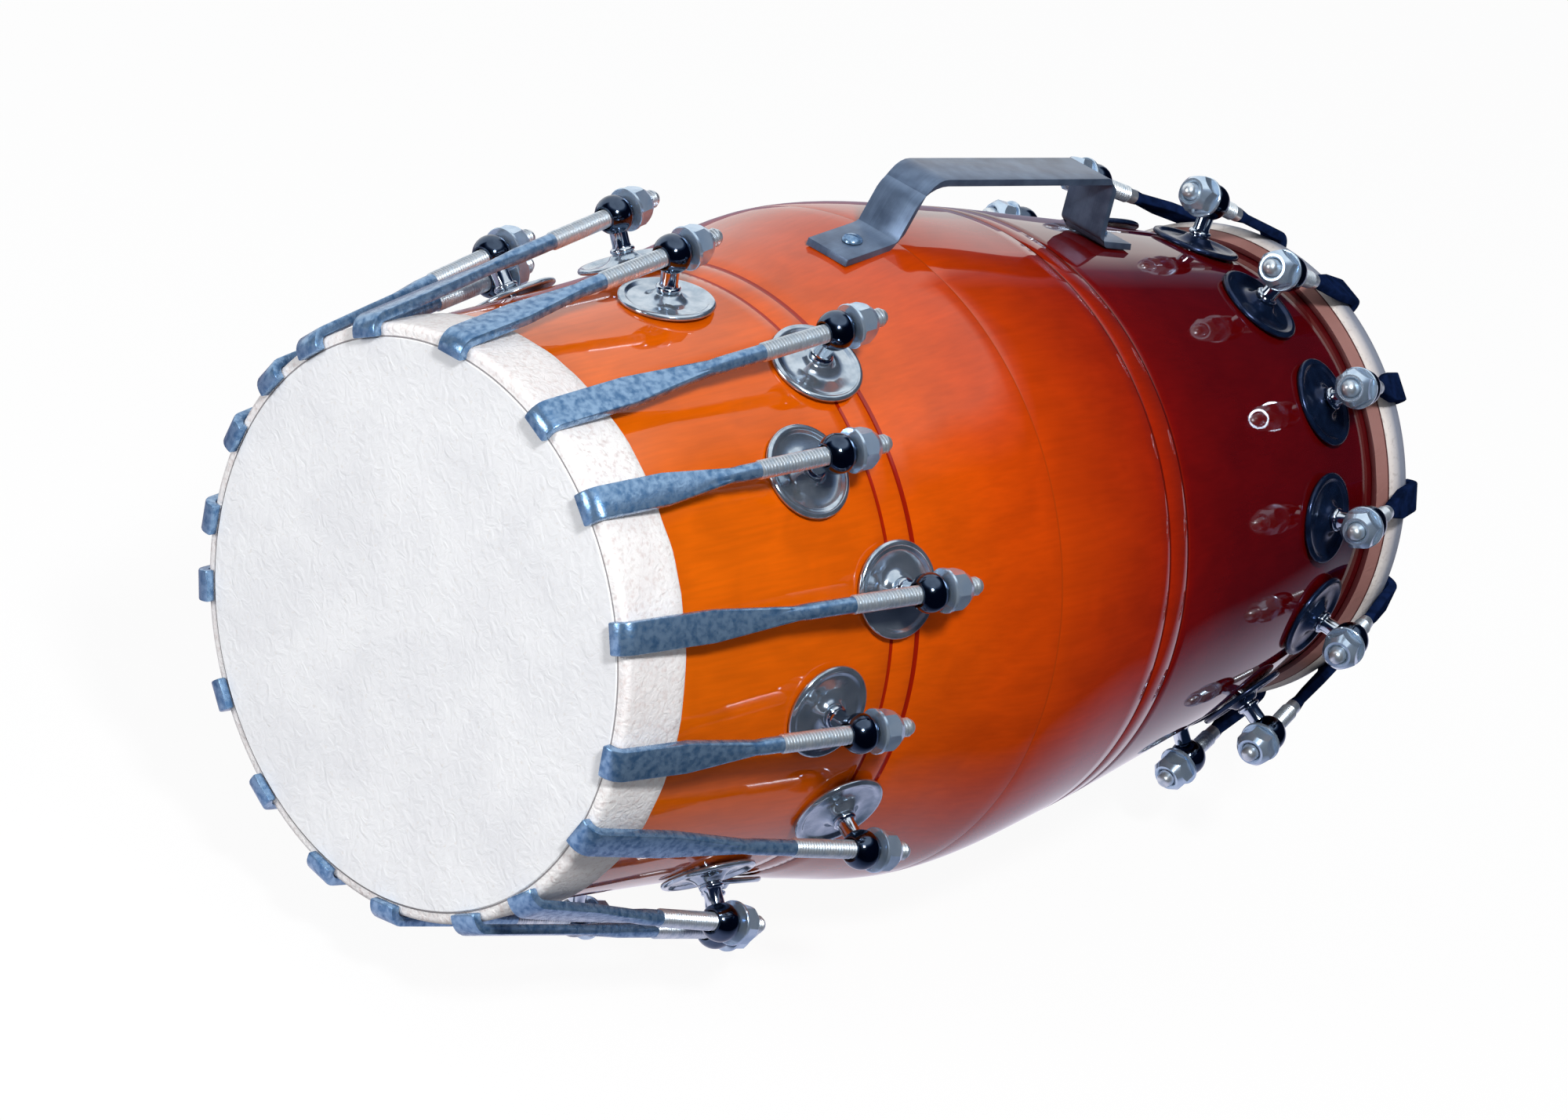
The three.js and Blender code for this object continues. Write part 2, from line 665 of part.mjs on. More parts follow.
// The one-piece wooden barrel, with its bearing edges and the holes for posts and screws.
function shell() {
  const start = bassEnd.woodStart;
  const end = trebleEnd.fromFace(trebleEnd.woodStart);
  const round = BEARING_EDGE_ROUND;
  const bassEdge = woodRadius(start);
  const trebleEdge = woodRadius(end);
  const outside = WOOD_RINGS.map((x) => [x, woodRadius(x)]);
  const inside = [
    [end - round, trebleEdge - WALL],
    ...WOOD_RINGS.slice(3, -3).map(borePoint).reverse(),
    [start + round, bassEdge - WALL],
  ];
  const outline = [
    [start, bassEdge - round],
    ...outside,
    [end, trebleEdge - round],
    [end, trebleEdge - WALL + round],
    ...inside,
    [start, bassEdge - WALL + round],
    [start, bassEdge - round],
  ];
  const holes = [...tuners.map(tunerHole), ...Object.values(HANDLE_FEET).map(screwHole)];
  return holes.reduce((left, hole) => left.subtract(hole), solidOf(turned(outline, DRUM_SIDES)));
}

const trebleSide = new THREE.Group();
trebleSide.position.x = DRUM_LENGTH;
trebleSide.rotation.z = Math.PI;
trebleSide.add(
  named("treble_skin", "rawhide", skin(trebleEnd)),
  named("treble_hoop", "hoop_steel", hoop(trebleEnd)),
);

const dholak = new THREE.Group();
dholak.add(
  named("shell", "varnished_wood", geometryOf(shell())),
  named("bass_skin", "rawhide", skin(bassEnd)),
  named("bass_hoop", "hoop_steel", hoop(bassEnd)),
  named("bass_masala", "tuning_paste", masala()),
  trebleSide,
  named("handle", "plated_steel", geometryOf(handle())),
);
for (const [name, foot] of Object.entries(HANDLE_FEET)) {
  const mesh = named(name, "plated_steel", screw());
  mesh.applyMatrix4(screwFrame(foot));
  dholak.add(mesh);
}
dholak.add(...tuners.map(tuner));

export default dholak;
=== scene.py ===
"""A dholak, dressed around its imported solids: a varnished barrel with two rawhide heads, tuned by steel
hooks, eyebolts and nuts, with a strap handle on top. Metres. X runs along the drum from the bass
playing face to the small treble face, and the handle stands up at +Z."""
import math
from functools import partial
from types import SimpleNamespace

import bpy
from mathutils import Matrix, Vector


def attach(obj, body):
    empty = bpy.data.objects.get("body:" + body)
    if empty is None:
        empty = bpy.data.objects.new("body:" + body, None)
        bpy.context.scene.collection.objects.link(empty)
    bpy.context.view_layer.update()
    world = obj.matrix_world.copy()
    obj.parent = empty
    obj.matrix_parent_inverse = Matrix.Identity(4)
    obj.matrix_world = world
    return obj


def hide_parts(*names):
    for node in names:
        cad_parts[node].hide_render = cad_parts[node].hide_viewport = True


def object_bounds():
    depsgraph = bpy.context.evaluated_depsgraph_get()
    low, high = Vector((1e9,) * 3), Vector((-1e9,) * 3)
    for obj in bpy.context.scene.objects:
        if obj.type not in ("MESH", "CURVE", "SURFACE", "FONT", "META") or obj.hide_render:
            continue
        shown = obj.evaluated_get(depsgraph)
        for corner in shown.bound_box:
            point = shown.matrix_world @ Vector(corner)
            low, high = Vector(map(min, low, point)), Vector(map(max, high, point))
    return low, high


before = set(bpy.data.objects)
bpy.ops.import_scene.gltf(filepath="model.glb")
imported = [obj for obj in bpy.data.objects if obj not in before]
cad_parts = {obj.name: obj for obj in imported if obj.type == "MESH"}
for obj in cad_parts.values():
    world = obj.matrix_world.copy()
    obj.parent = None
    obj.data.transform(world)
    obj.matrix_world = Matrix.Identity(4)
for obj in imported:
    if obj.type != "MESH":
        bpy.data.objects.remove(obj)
CAD_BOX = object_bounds()

MM = 0.001

# The drum as a whole.
DRUM_LENGTH = 507 * MM
BELLY_RADIUS = 143 * MM
BELLY_FROM_BASS = 236 * MM
WALL = 14 * MM
EDGE_ROUND = 1.6 * MM
FIT_GAP = 0.3 * MM

# The wood's outline, as shares of the way and of the rise from an end to the belly.
BASS_OUTLINE_SHARES = [(0, 0), (0.14, 0.155), (0.4, 0.3), (0.62, 0.455), (0.8, 0.75), (1, 1)]
TREBLE_OUTLINE_SHARES = [(0, 0), (0.07, 0.06), (0.25, 0.3), (0.5, 0.58), (0.736, 0.823), (1, 1)]

# Turned grooves: place from the bass face, half width and depth of each.
GROOVES = [
    (144 * MM, 1.1 * MM, 0.5 * MM),
    (157 * MM, 1.4 * MM, 0.6 * MM),
    (229 * MM, 0.5 * MM, 0.06 * MM),
    (307 * MM, 0.8 * MM, 0.35 * MM),
    (321 * MM, 0.8 * MM, 0.35 * MM),
]

# A groove's section, as shares of its half width and depth, and the half widths kept clear beside it.
GROOVE_SHARES = [(-1, 0), (-0.55, 0.6), (0, 1), (0.55, 0.6), (1, 0)]
GROOVE_ROOM = 3

# The heads.
SKIN_THICKNESS = 1.5 * MM
FACE_STEP = 0.6 * MM
FACE_MARGIN = 0.7 * MM
FACE_SHARES = (0.1, 0.25, 0.4, 0.55, 0.7, 0.82, 0.91, 0.97)
STEP_SHARE = 0.8
CREASE_SHADE_WIDTH = 0.7 * MM
COLLAR_SHARES = (0.25, 0.5, 0.75, 0.94)
COLLAR_HEM = 1 * MM
COLLAR_FOLD_SIZE = 9 * MM
COLLAR_FOLD_DEPTH = 0.5 * MM
HEM_ROUND_SHARE = 0.35

# What the two heads and their tuners measure: the bass one first, and then the treble one.
HEAD_SIZES = {
    "side": ("bass", "treble"),
    "wood_radius": (113.2 * MM, 98.5 * MM),
    "hoop_thickness": (1.7 * MM, 4.4 * MM),
    "hoop_width": (8.5 * MM, 7 * MM),
    "hide_over_hoop": (2.8 * MM, 3.1 * MM),
    "collar_length": (33 * MM, 20 * MM),
    "collar_edge": (2.2 * MM, 1.5 * MM),
    "shoulder": (3 * MM, 3.2 * MM),
    "roll_share": (1, 2.2),
    "rag_size": (14 * MM, 12 * MM),
    "rag_depth": (1.8 * MM, 1 * MM),
    "rag_reach": (4 * MM, 3 * MM),
    "posts": ((113 * MM, 145 * MM), (66 * MM, 55 * MM)),
    "rod_beyond_nut": (8.4 * MM, 4.4 * MM),
}
BASS_HEAD, TREBLE_HEAD = [{size: pair[i] for size, pair in HEAD_SIZES.items()} for i in (0, 1)]

# The tuning hooks, nuts and washers.
STRIP_WIDTH = 13 * MM
STRIP_THICKNESS = 4.2 * MM
STRIP_FULL_SHARE = 0.26
STRIP_END_SHARE = 0.58
STRIP_BEVEL = 0.7 * MM
NECK_WIDTH = 4.6 * MM
CONE_SHARE = 0.35
LIP_DROP = 2.1 * MM
ROD_RADIUS = 3.9 * MM
ROD_TIP_ROUND = 2.6 * MM
THREAD_LENGTH = 38 * MM
THREAD_PITCH = 1.5 * MM
THREAD_DEPTH = 0.55 * MM
CREST_SHARES = (0.4, 0.6)
NUT_ACROSS_FLATS = 15 * MM
NUT_HEIGHT = 9.5 * MM
NUT_FACE_SHARE = 0.95
NUT_END_RADIUS = 6.0 * MM
NUT_TAPER_SHARE = 0.4
SINK_DEPTH = 0.8 * MM
NUT_CHAMFER_SLOPE = 0.6
NUT_CHAMFER_OVERRUN = 0.2 * MM
NUT_TURN_STEP = 37
WASHER_RADIUS = 9.2 * MM
WASHER_THICKNESS = 1.6 * MM
WASHER_BEVEL = 0.3 * MM
WASHER_GAP = 0.02 * MM

# The eyebolts and their escutcheons.
EYE_STANDOFF = 21 * MM
EYE_RADIUS = 8.2 * MM
EYE_WIDTH = 12.6 * MM
SHANK_RADIUS = 4 * MM
INNER_NUT_ACROSS_FLATS = 13 * MM
INNER_NUT_HEIGHT = 6.5 * MM
INNER_NUT_GAP = 0.7 * MM
SHANK_BEAD = 1.2 * MM
SHANK_OVERRUN = 2 * MM
SHANK_WAIST_SHARE = 0.93
SHANK_GAP = 0.2 * MM
CUP_RADIUS = 20 * MM
CUP_RIM_HEIGHT = 2.2 * MM
CUP_BOSS_RADIUS = 7.5 * MM
CUP_BOSS_HEIGHT = 4.4 * MM
CUP_DISH_HEIGHT = 0.9 * MM

# The escutcheon's section, from the hole outwards and back under the rim: steps in millimetres out from
# the radius and up from the height that are named first.
CUP_OUTLINE = [
    ("hole", "boss", [(0, 0), (0.9, 0), (1.5, -0.4), (2.1, -1.3)]),
    ("boss", "dish", [(0, 1.1), (1.6, 0.35), (3.4, 0)]),
    ("edge", "dish", [(-4.6, 0), (-3.6, 0.3)]),
    ("edge", "rim", [(-2.9, -0.35), (-2.1, 0), (-1.2, 0), (-0.4, -0.4), (0, -1.1)]),
    ("edge", "foot", [(-0.1, 0.3), (-0.5, 0), (-2.6, 0), (-3.6, 0.3)]),
    ("hole", "foot", [(0, 0.3)]),
]

# Places round the drum, in degrees: 90 is the top, where the handle is, and 180 is the -Y side.
BASS_HOOK_ANGLES = [45, 62, 86, 112, 131, 156, 180, 197, 219, 236, 259, 278, 299, 320, 342, 356, 15, 31]
BASS_POST_ANGLES = [45, 62, 87, 113, 133, 157, 178, 203, 226, 240, 260, 279, 299, 320, 341, 357, 15, 31]
BASS_JOINTED = 9
TREBLE_COUNT = 14
TREBLE_FIRST_ANGLE = 164

# The handle.
HANDLE_WIDTH = 23 * MM
HANDLE_THICKNESS = 3 * MM
HANDLE_FEET = ((196 * MM, 225 * MM), (360 * MM, 382 * MM))
HANDLE_FRONT_TOP = 237 * MM
HANDLE_FRONT_RISE = 27 * MM
HANDLE_REAR_RISE = 29 * MM
HANDLE_SOFT_BEND = 11 * MM
HANDLE_SHARP_BEND = 5 * MM
HANDLE_BEVEL = 0.5 * MM
SCREW_RADIUS = 2 * MM
SCREW_LENGTH = 12 * MM
SCREW_HEAD_RADIUS = 4.4 * MM
SCREW_HEAD_HEIGHT = 2.2 * MM
SCREW_HEAD_STEPS = 5
SCREW_SLOT_WIDTH = 1.1 * MM
SCREW_TURNS = (25, 70)

# How finely round things are cut into flats, and the steps that stand for curves.
DRUM_SIDES = 180
CUP_SIDES = 48
ROD_SIDES = 24
BEND_STEPS = 6
WOOD_STEPS = 5
WOOD_STEP = 7 * MM
SEAT_STEPS = 6
EYE_STEPS = 8
SLOPE_STEP = 0.14 * MM
WELD = 0.01 * MM
POLE = 0.001 * MM

# The steepest fold, in degrees, that is still shaded as one soft surface.
SOFT_FOLD = 40
SHARP_FOLD = 30
HOOK_FOLD = 35
CUP_FOLD = 50


# The wood's outline and the places on it, as the solids have them.

def knots_of(shares, end_radius, to_length, from_bass):
    to_belly = BELLY_RADIUS - end_radius
    return [(from_bass(way * to_length), end_radius + rise * to_belly) for way, rise in shares]


WOOD_KNOTS = knots_of(BASS_OUTLINE_SHARES, BASS_HEAD["wood_radius"], BELLY_FROM_BASS, lambda way: way)
WOOD_KNOTS += knots_of(
    TREBLE_OUTLINE_SHARES[:-1],
    TREBLE_HEAD["wood_radius"],
    DRUM_LENGTH - BELLY_FROM_BASS,
    lambda way: DRUM_LENGTH - way,
)[::-1]


def knot_slope(i):
    """The outline's slope at a knot, from the spans beside it, which keeps it from overshooting."""
    spans = list(zip(WOOD_KNOTS, WOOD_KNOTS[1:]))[max(i - 1, 0) : i + 1]
    slopes = [(stop[1] - start[1]) / (stop[0] - start[0]) for start, stop in spans]
    left, right = slopes[0], slopes[-1]
    return 2 * left * right / (left + right) if left * right > 0 else 0


def wood_radius(x):
    """The wood's outer radius at a distance from the bass face."""
    i = 0
    while i < len(WOOD_KNOTS) - 2 and x >= WOOD_KNOTS[i + 1][0]:
        i += 1
    (from_x, from_radius), (to_x, to_radius) = WOOD_KNOTS[i], WOOD_KNOTS[i + 1]
    span = to_x - from_x
    t = (x - from_x) / span
    return (
        (2 * t**3 - 3 * t**2 + 1) * from_radius
        + (t**3 - 2 * t**2 + t) * span * knot_slope(i)
        + (3 * t**2 - 2 * t**3) * to_radius
        + (t**3 - t**2) * span * knot_slope(i + 1)
    )


def end_of(head, from_face):
    """An end of the drum: its head's sizes, and the wood measured inwards from its playing face."""
    end = SimpleNamespace(**head, from_face=from_face)
    end.wood_start = FACE_STEP + SKIN_THICKNESS + FIT_GAP
    end.pocket_end = end.wood_start + end.hoop_width + FIT_GAP
    wood = wood_radius(from_face(end.pocket_end))
    end.pocket_radius = wood + end.hoop_thickness + 2 * FIT_GAP
    end.rim_radius = end.pocket_radius + end.hide_over_hoop
    end.bend_x = FACE_STEP + end.shoulder
    end.bend_radius = end.rim_radius - end.shoulder
    end.crease = end.bend_radius - LIP_DROP
    end.face_radius = end.crease - FACE_MARGIN
    middle = (end.pocket_end + end.collar_length) / 2
    end.collar_seats = [end.pocket_end, middle, end.collar_length]
    return end


BASS_END = end_of(BASS_HEAD, lambda along: along)
TREBLE_END = end_of(TREBLE_HEAD, lambda along: DRUM_LENGTH - along)


def half_rings(end):
    first = end.collar_length
    belly = abs(BELLY_FROM_BASS - end.from_face(0))
    rings = [end.wood_start + EDGE_ROUND, *end.collar_seats]
    rings += [first + (belly - first) * i / WOOD_STEPS for i in range(1, WOOD_STEPS)]
    return [end.from_face(ring) for ring in rings]


WOOD_RINGS = [*half_rings(BASS_END), BELLY_FROM_BASS, *half_rings(TREBLE_END)[::-1]]


def surface_radius(x):
    """The radius of the solids' wood between two of its rings, where it runs straight."""
    later = [i for i, ring in enumerate(WOOD_RINGS) if x < ring]
    after = min(max(later[0] if later else len(WOOD_RINGS) - 1, 1), len(WOOD_RINGS) - 1)
    start, stop = WOOD_RINGS[after - 1], WOOD_RINGS[after]
    share = (x - start) / (stop - start)
    return wood_radius(start) + share * (wood_radius(stop) - wood_radius(start))


def radius_at(end, along):
    return surface_radius(end.from_face(along))


def seat_on(end, along, reach):
    """A flat seat on the wood: its slope, and its height over the drum's axis."""
    low = radius_at(end, along - reach)
    high = radius_at(end, along + reach)
    slope = (high - low) / (2 * reach)
    lift = 0
    for i in range(2 * SEAT_STEPS + 1):
        way = (i / SEAT_STEPS - 1) * reach
        lift = max(lift, radius_at(end, along + way) - (low + high) / 2 - slope * way)
    return slope, (low + high) / 2 + lift


def seat_frame(end, along, reach):
    slope, height = seat_on(end, along, reach)
    return Matrix.Translation((along, 0, height)) @ Matrix.Rotation(-math.atan(slope), 4, "Y")


def tuner_matrix(end, angle):
    """A tuner's frame on the drum: X runs inwards from its playing face, and Z outwards."""
    turn = Matrix.Rotation(math.radians(angle - 90), 4, "X")
    if end is BASS_END:
        return turn
    return Matrix.Translation((DRUM_LENGTH, 0, 0)) @ turn @ Matrix.Rotation(math.pi, 4, "Z")


def hook_line(end, along, sideways_angle):
    """Where a hook lies: its eye, its turn sideways, its dip, its bend's radius and its length."""
    eye = seat_frame(end, along, CUP_RADIUS) @ Vector((0, 0, EYE_STANDOFF))
    sideways = math.atan(end.bend_radius * math.sin(sideways_angle) / (eye.x - end.bend_x))
    lip_room = STRIP_WIDTH / 2 * math.tan(abs(sideways))
    bend = end.shoulder + FIT_GAP + lip_room + STRIP_THICKNESS / 2
    level = (eye.x - end.bend_x) / math.cos(sideways)
    drop = eye.z - end.bend_radius * math.cos(sideways_angle)
    reach = math.hypot(level, drop)
    dip = math.atan2(drop, level) - math.asin(bend / reach)
    length = math.sqrt(reach**2 - bend**2)
    return SimpleNamespace(eye=eye, sideways=sideways, dip=dip, bend=bend, length=length)


def hook_frame(line):
    """The hook's frame: at the eye, with X along the rod, away from the rim."""
    turn = Matrix.Rotation(line.sideways, 4, "Z") @ Matrix.Rotation(-line.dip, 4, "Y")
    return Matrix.Translation(line.eye) @ turn


BORE_RADIUS = (ROD_RADIUS + FIT_GAP) / math.cos(math.pi / 8)
WASHER_START = EYE_WIDTH / 2 + FIT_GAP
NUT_START = WASHER_START + WASHER_THICKNESS
NUT_END = NUT_START + NUT_HEIGHT


def arc(turn, steps, first=0):
    """The sine and the cosine at even steps of a turn."""
    return [(math.sin(turn * i / steps), math.cos(turn * i / steps)) for i in range(first, steps + 1)]


# Helpers that shape pieces with Blender's own tools.

def deselect():
    bpy.ops.object.select_all(action="DESELECT")


def only(piece):
    deselect()
    piece.select_set(True)
    bpy.context.view_layer.objects.active = piece
    return piece


def new_piece(name, primitive, **sizes):
    """Adds one of Blender's primitives, with nothing else selected."""
    deselect()
    primitive(**sizes)
    piece = bpy.context.active_object
    piece.name = name
    piece.data.name = name
    return piece


def edit(piece):
    only(piece)
    bpy.ops.object.mode_set(mode="EDIT")
    bpy.ops.mesh.select_all(action="SELECT")


def done_editing():
    bpy.ops.object.mode_set(mode="OBJECT")


def turned(name, outline, sides):
    """Turns an outline of (radius, height) round Z: a ring is extruded from each point to the next.
    A radius of 0 closes it at a pole, and an outline that ends where it starts closes on itself."""
    radius, height = max(outline[0][0], POLE), outline[0][1]
    piece = new_piece(name, bpy.ops.mesh.primitive_circle_add, vertices=sides, radius=radius)
    edit(piece)
    bpy.ops.transform.translate(value=(0, 0, height))
    for next_radius, next_height in outline[1:]:
        next_radius = max(next_radius, POLE)
        bpy.ops.mesh.extrude_region_move(TRANSFORM_OT_translate={"value": (0, 0, next_height - height)})
        ratio = next_radius / radius
        bpy.ops.transform.resize(value=(ratio, ratio, 1), center_override=(0, 0, next_height))
        radius, height = next_radius, next_height
    bpy.ops.mesh.select_all(action="SELECT")
    bpy.ops.mesh.remove_doubles(threshold=WELD)
    bpy.ops.mesh.normals_make_consistent(inside=False)
    done_editing()
    return piece


def put(piece, matrix):
    """Moves a piece's mesh, so that its object stays at the origin."""
    piece.data.transform(matrix)
    piece.data.update()
    return piece


ALONG_X = Matrix.Rotation(math.pi / 2, 4, "Y")


def copy_of(piece, name, matrix):
    copy = piece.copy()
    copy.data = piece.data.copy()
    copy.name = name
    copy.data.name = name
    bpy.context.scene.collection.objects.link(copy)
    return put(copy, matrix)


def cut(piece, cutter, operation="DIFFERENCE"):
    """Cuts, joins or meets a piece with another, which is used up."""
    only(piece)
    tool = piece.modifiers.new("cut", "BOOLEAN")
    tool.operation = operation
    tool.solver = "EXACT"
    tool.object = cutter
    bpy.ops.object.modifier_apply(modifier=tool.name)
    bpy.data.objects.remove(cutter)
    return piece


def bevelled(piece, width, segments, degrees):
    only(piece)
    tool = piece.modifiers.new("edges", "BEVEL")
    tool.width = width
    tool.segments = segments
    tool.limit_method = "ANGLE"
    tool.angle_limit = math.radians(degrees)
    bpy.ops.object.modifier_apply(modifier=tool.name)
    return piece


def smoothed(piece, degrees):
    only(piece)
    bpy.ops.object.shade_smooth_by_angle(angle=math.radians(degrees))
    return piece


def strap(name, places, sizes):
    """Extrudes a flat bar along places of (x, z, lean), with the (width, thickness) given at each."""
    (x, z, lean), (width, thickness) = places[0], sizes[0]
    piece = new_piece(name, bpy.ops.mesh.primitive_plane_add, size=1)
    start = Matrix.Translation((x, 0, z)) @ Matrix.Rotation(math.pi / 2 - lean, 4, "Y")
    put(piece, start @ Matrix.Diagonal((thickness, width, 1, 1)))
    edit(piece)
    for (next_x, next_z, next_lean), (next_width, next_thickness) in zip(places[1:], sizes[1:]):
        move = (next_x - x, 0, next_z - z)
        here = (next_x, 0, next_z)
        bpy.ops.mesh.extrude_region_move(TRANSFORM_OT_translate={"value": move})
        scale = (1, next_width / width, next_thickness / thickness)
        if scale != (1, 1, 1):
            bpy.ops.transform.resize(value=scale, center_override=here)
        if next_lean != lean:
            # With no window the turn goes the other way round.
            bpy.ops.transform.rotate(value=next_lean - lean, orient_axis="Y", center_override=here)
        x, z, lean, width, thickness = next_x, next_z, next_lean, next_width, next_thickness
    bpy.ops.mesh.select_all(action="SELECT")
    bpy.ops.mesh.normals_make_consistent(inside=False)
    done_editing()
    return piece


# Materials. A pattern is drawn at the real size of its marks, on the piece itself.

NOISE = "ShaderNodeTexNoise"
RAMP = "ShaderNodeValToRGB"
MIX = "ShaderNodeMix"
MATHS = "ShaderNodeMath"
VECTORS = "ShaderNodeVectorMath"
FADE = "ShaderNodeMapRange"
BUMP = "ShaderNodeBump"
PLACE = "ShaderNodeTexCoord"
SPLIT = "ShaderNodeSeparateXYZ"
BLEND = {"data_type": "RGBA"}
SHADE = {"data_type": "RGBA", "blend_type": "MULTIPLY"}

# The wood's stain along the drum, as shares of its length, and the darker one behind the rear grooves.
STAIN_STOPS = [(0.0, "#e06605"), (0.26, "#da5a02"), (0.4, "#c84402")]
STAIN_STOPS += [(0.52, "#b73302"), (0.6, "#a22303"), (0.66, "#8c1d05")]
DARK_STAIN_STOPS = [(0.62, "#7a0d05"), (0.72, "#600707"), (1.0, "#52040a")]
DARK_STAIN_FADE = (-1 * MM, 2 * MM)
STAIN_DRIFT = 30 * MM
GROOVE_STAINS = ("#9a1d02", "#921802", "#ab3a04", "#641103", "#540a04")
GROOVE_STAIN_SHARE = 0.8

# The wood's patterns: the size of their marks along and across the drum, and how finely they are drawn.
GRAIN = {
    "drift": ((80 * MM, 50 * MM, 50 * MM), {}),
    "streaks": ((45 * MM, 2 * MM, 2 * MM), {"Detail": 5.0}),
    "patches": ((26 * MM, 18 * MM, 18 * MM), {"Distortion": 0.5}),
    "ripple": ((40 * MM, 20 * MM, 20 * MM), {"Detail": 1.0}),
}
GRAIN_TONES = {"streaks": (0.91, 1.02), "patches": (0.9, 1.05)}
RIPPLE_DEPTH = 0.2 * MM

# The hides: colour, clouds, pores and how rare they are, and the size and depth of the wrinkles.
# Real pores are finer than the picture can show, so these are drawn about three times as wide.
HIDE_CLOUD_SIZE = 34 * MM
HIDE_PORE_SIZE = 2.2 * MM
FACE_FINISH = ("#eff0f2", "#e7e8eb", "#e2dfdc", 0.6, 6 * MM, 0.8 * MM)
COLLAR_FINISH = ("#f6f4f3", "#e9e5e5", "#ddd3d1", 0.5, 4 * MM, 1.2 * MM)
TREBLE_FINISH = ("#e9e2dc", "#d5cdcb", "#bfb4ae", 0.56, 6 * MM, 0.7 * MM)

# Marks on the hides: what they are measured by, from where to where, and their colour. The thin crease
# rings are painted shade.
# The treble hide greys towards its face, a painted shade where its roll turns from the light, and has a
# brown strip behind its roll with a dark line on either side; the rear line is a painted shadow.
ROLL_SHADE_START, ROLL_SHADE_FULL, LINE_END, STRIP_END, EDGE_SHADE_START = [
    TREBLE_END.from_face(inwards) for inwards in (12 * MM, 7 * MM, 13.4 * MM, 14 * MM, 19.1 * MM)
]
# The crease rings on both hides are painted shade where the hide folds down to its rim.
BASS_MARKS, TREBLE_CREASE_SHADE = [
    [("from axis", end.crease - CREASE_SHADE_WIDTH / 2, end.crease + CREASE_SHADE_WIDTH / 2, "#8d8a8c")]
    for end in (BASS_END, TREBLE_END)
]
TREBLE_MARKS = [
    # painted shade, greying the treble roll towards its face where it turns from the light
    ("shaded along", ROLL_SHADE_START, ROLL_SHADE_FULL, "#8b91a1"),
    *TREBLE_CREASE_SHADE,
    ("along", BELLY_FROM_BASS, STRIP_END, "#966a64"),
    ("along", STRIP_END, LINE_END, "#4f2525"),
    # a painted shadow line on the hide's rear edge face and just in front of it
    ("along", BELLY_FROM_BASS, EDGE_SHADE_START, "#4a1618"),
]

# The steels: bright and dull colour, the size of the patches, the roughness of both, the size and depth
# of the pits, how metallic it is and its specular level.
STEEL_FINISHES = {
    # A bright mirror, for the shanks.
    "chromed_steel": ("#d8e2ec", "#c2cedb", 9 * MM, 0.06, 0.1, 4 * MM, 0.01 * MM, 1.0, 0.5),
    # Dark and polished: the darkness is a painted reflection of a dark room, so that the eyes show as
    # black balls with hard lights.
    "shade_dark_ball_steel": ("#56657a", "#3f4c60", 7 * MM, 0.08, 0.14, 3 * MM, 0.02 * MM, 1.0, 0.5),
    # Pale and a little soft, for the nuts and washers.
    "zinc_plated_steel": ("#cbdff2", "#abc3dc", 7 * MM, 0.14, 0.24, 1.4 * MM, 0.03 * MM, 0.76, 0.5),
    # Nearly white and satin, as rolled threads are.
    "rolled_thread_steel": ("#e3ebf1", "#bccbd8", 3 * MM, 0.28, 0.4, 1.2 * MM, 0.06 * MM, 0.8, 0.5),
    # A mirror with a faint haze, for the bass escutcheons.
    "polished_cup_steel": ("#c9d6e2", "#a3b5c6", 6 * MM, 0.1, 0.18, 1.6 * MM, 0.015 * MM, 0.88, 0.5),
    # Blue-grey, mottled and hammered, for the bass hooks.
    "forged_hook_steel": ("#8aabcd", "#4c749f", 2.8 * MM, 0.2, 0.34, 1.1 * MM, 0.16 * MM, 0.68, 0.5),
    # Almost black and matt: painted shade and a painted dark reflection, for the treble hooks.
    "shade_dark_hook_steel": ("#14244a", "#0c1730", 5 * MM, 0.4, 0.5, 1.3 * MM, 0.05 * MM, 0.0, 0.0),
    # Dark blue under a gloss: painted shade and a painted dark reflection, for the treble escutcheons.
    "shade_dark_cup_steel": ("#1d2f50", "#101d38", 5 * MM, 0.16, 0.26, 1.3 * MM, 0.05 * MM, 0.6, 0.5),
    # Plain dull grey, for the hoops inside the hides.
    "drawn_hoop_steel": ("#6c7076", "#4d5157", 7 * MM, 0.35, 0.5, 1.2 * MM, 0.05 * MM, 1.0, 0.5),
}
BRUSH_MARKS = (30 * MM, 0.6 * MM, 30 * MM)
BRUSH_PATCH_SIZE = 12 * MM
BRUSH_DEPTH = 0.05 * MM
PASTE_LUMP_SIZE = 4 * MM
PASTE_LUMP_DEPTH = 0.6 * MM


def linear(colour):
    """An sRGB hex colour as linear light."""
    channels = [int(colour[i : i + 2], 16) / 255 for i in (1, 3, 5)]
    return (*[c / 12.92 if c <= 0.04045 else ((c + 0.055) / 1.055) ** 2.4 for c in channels], 1)


def grey(value):
    return (value, value, value, 1)


def stops(shades):
    """A ramp's stops, from a table of places and colours."""
    return {"stops": [(place, linear(colour)) for place, colour in shades]}


def per(*sizes):
    """A pattern's scale along X, Y and Z, from the size of its marks."""
    return {"Scale": tuple(1 / size for size in sizes)}


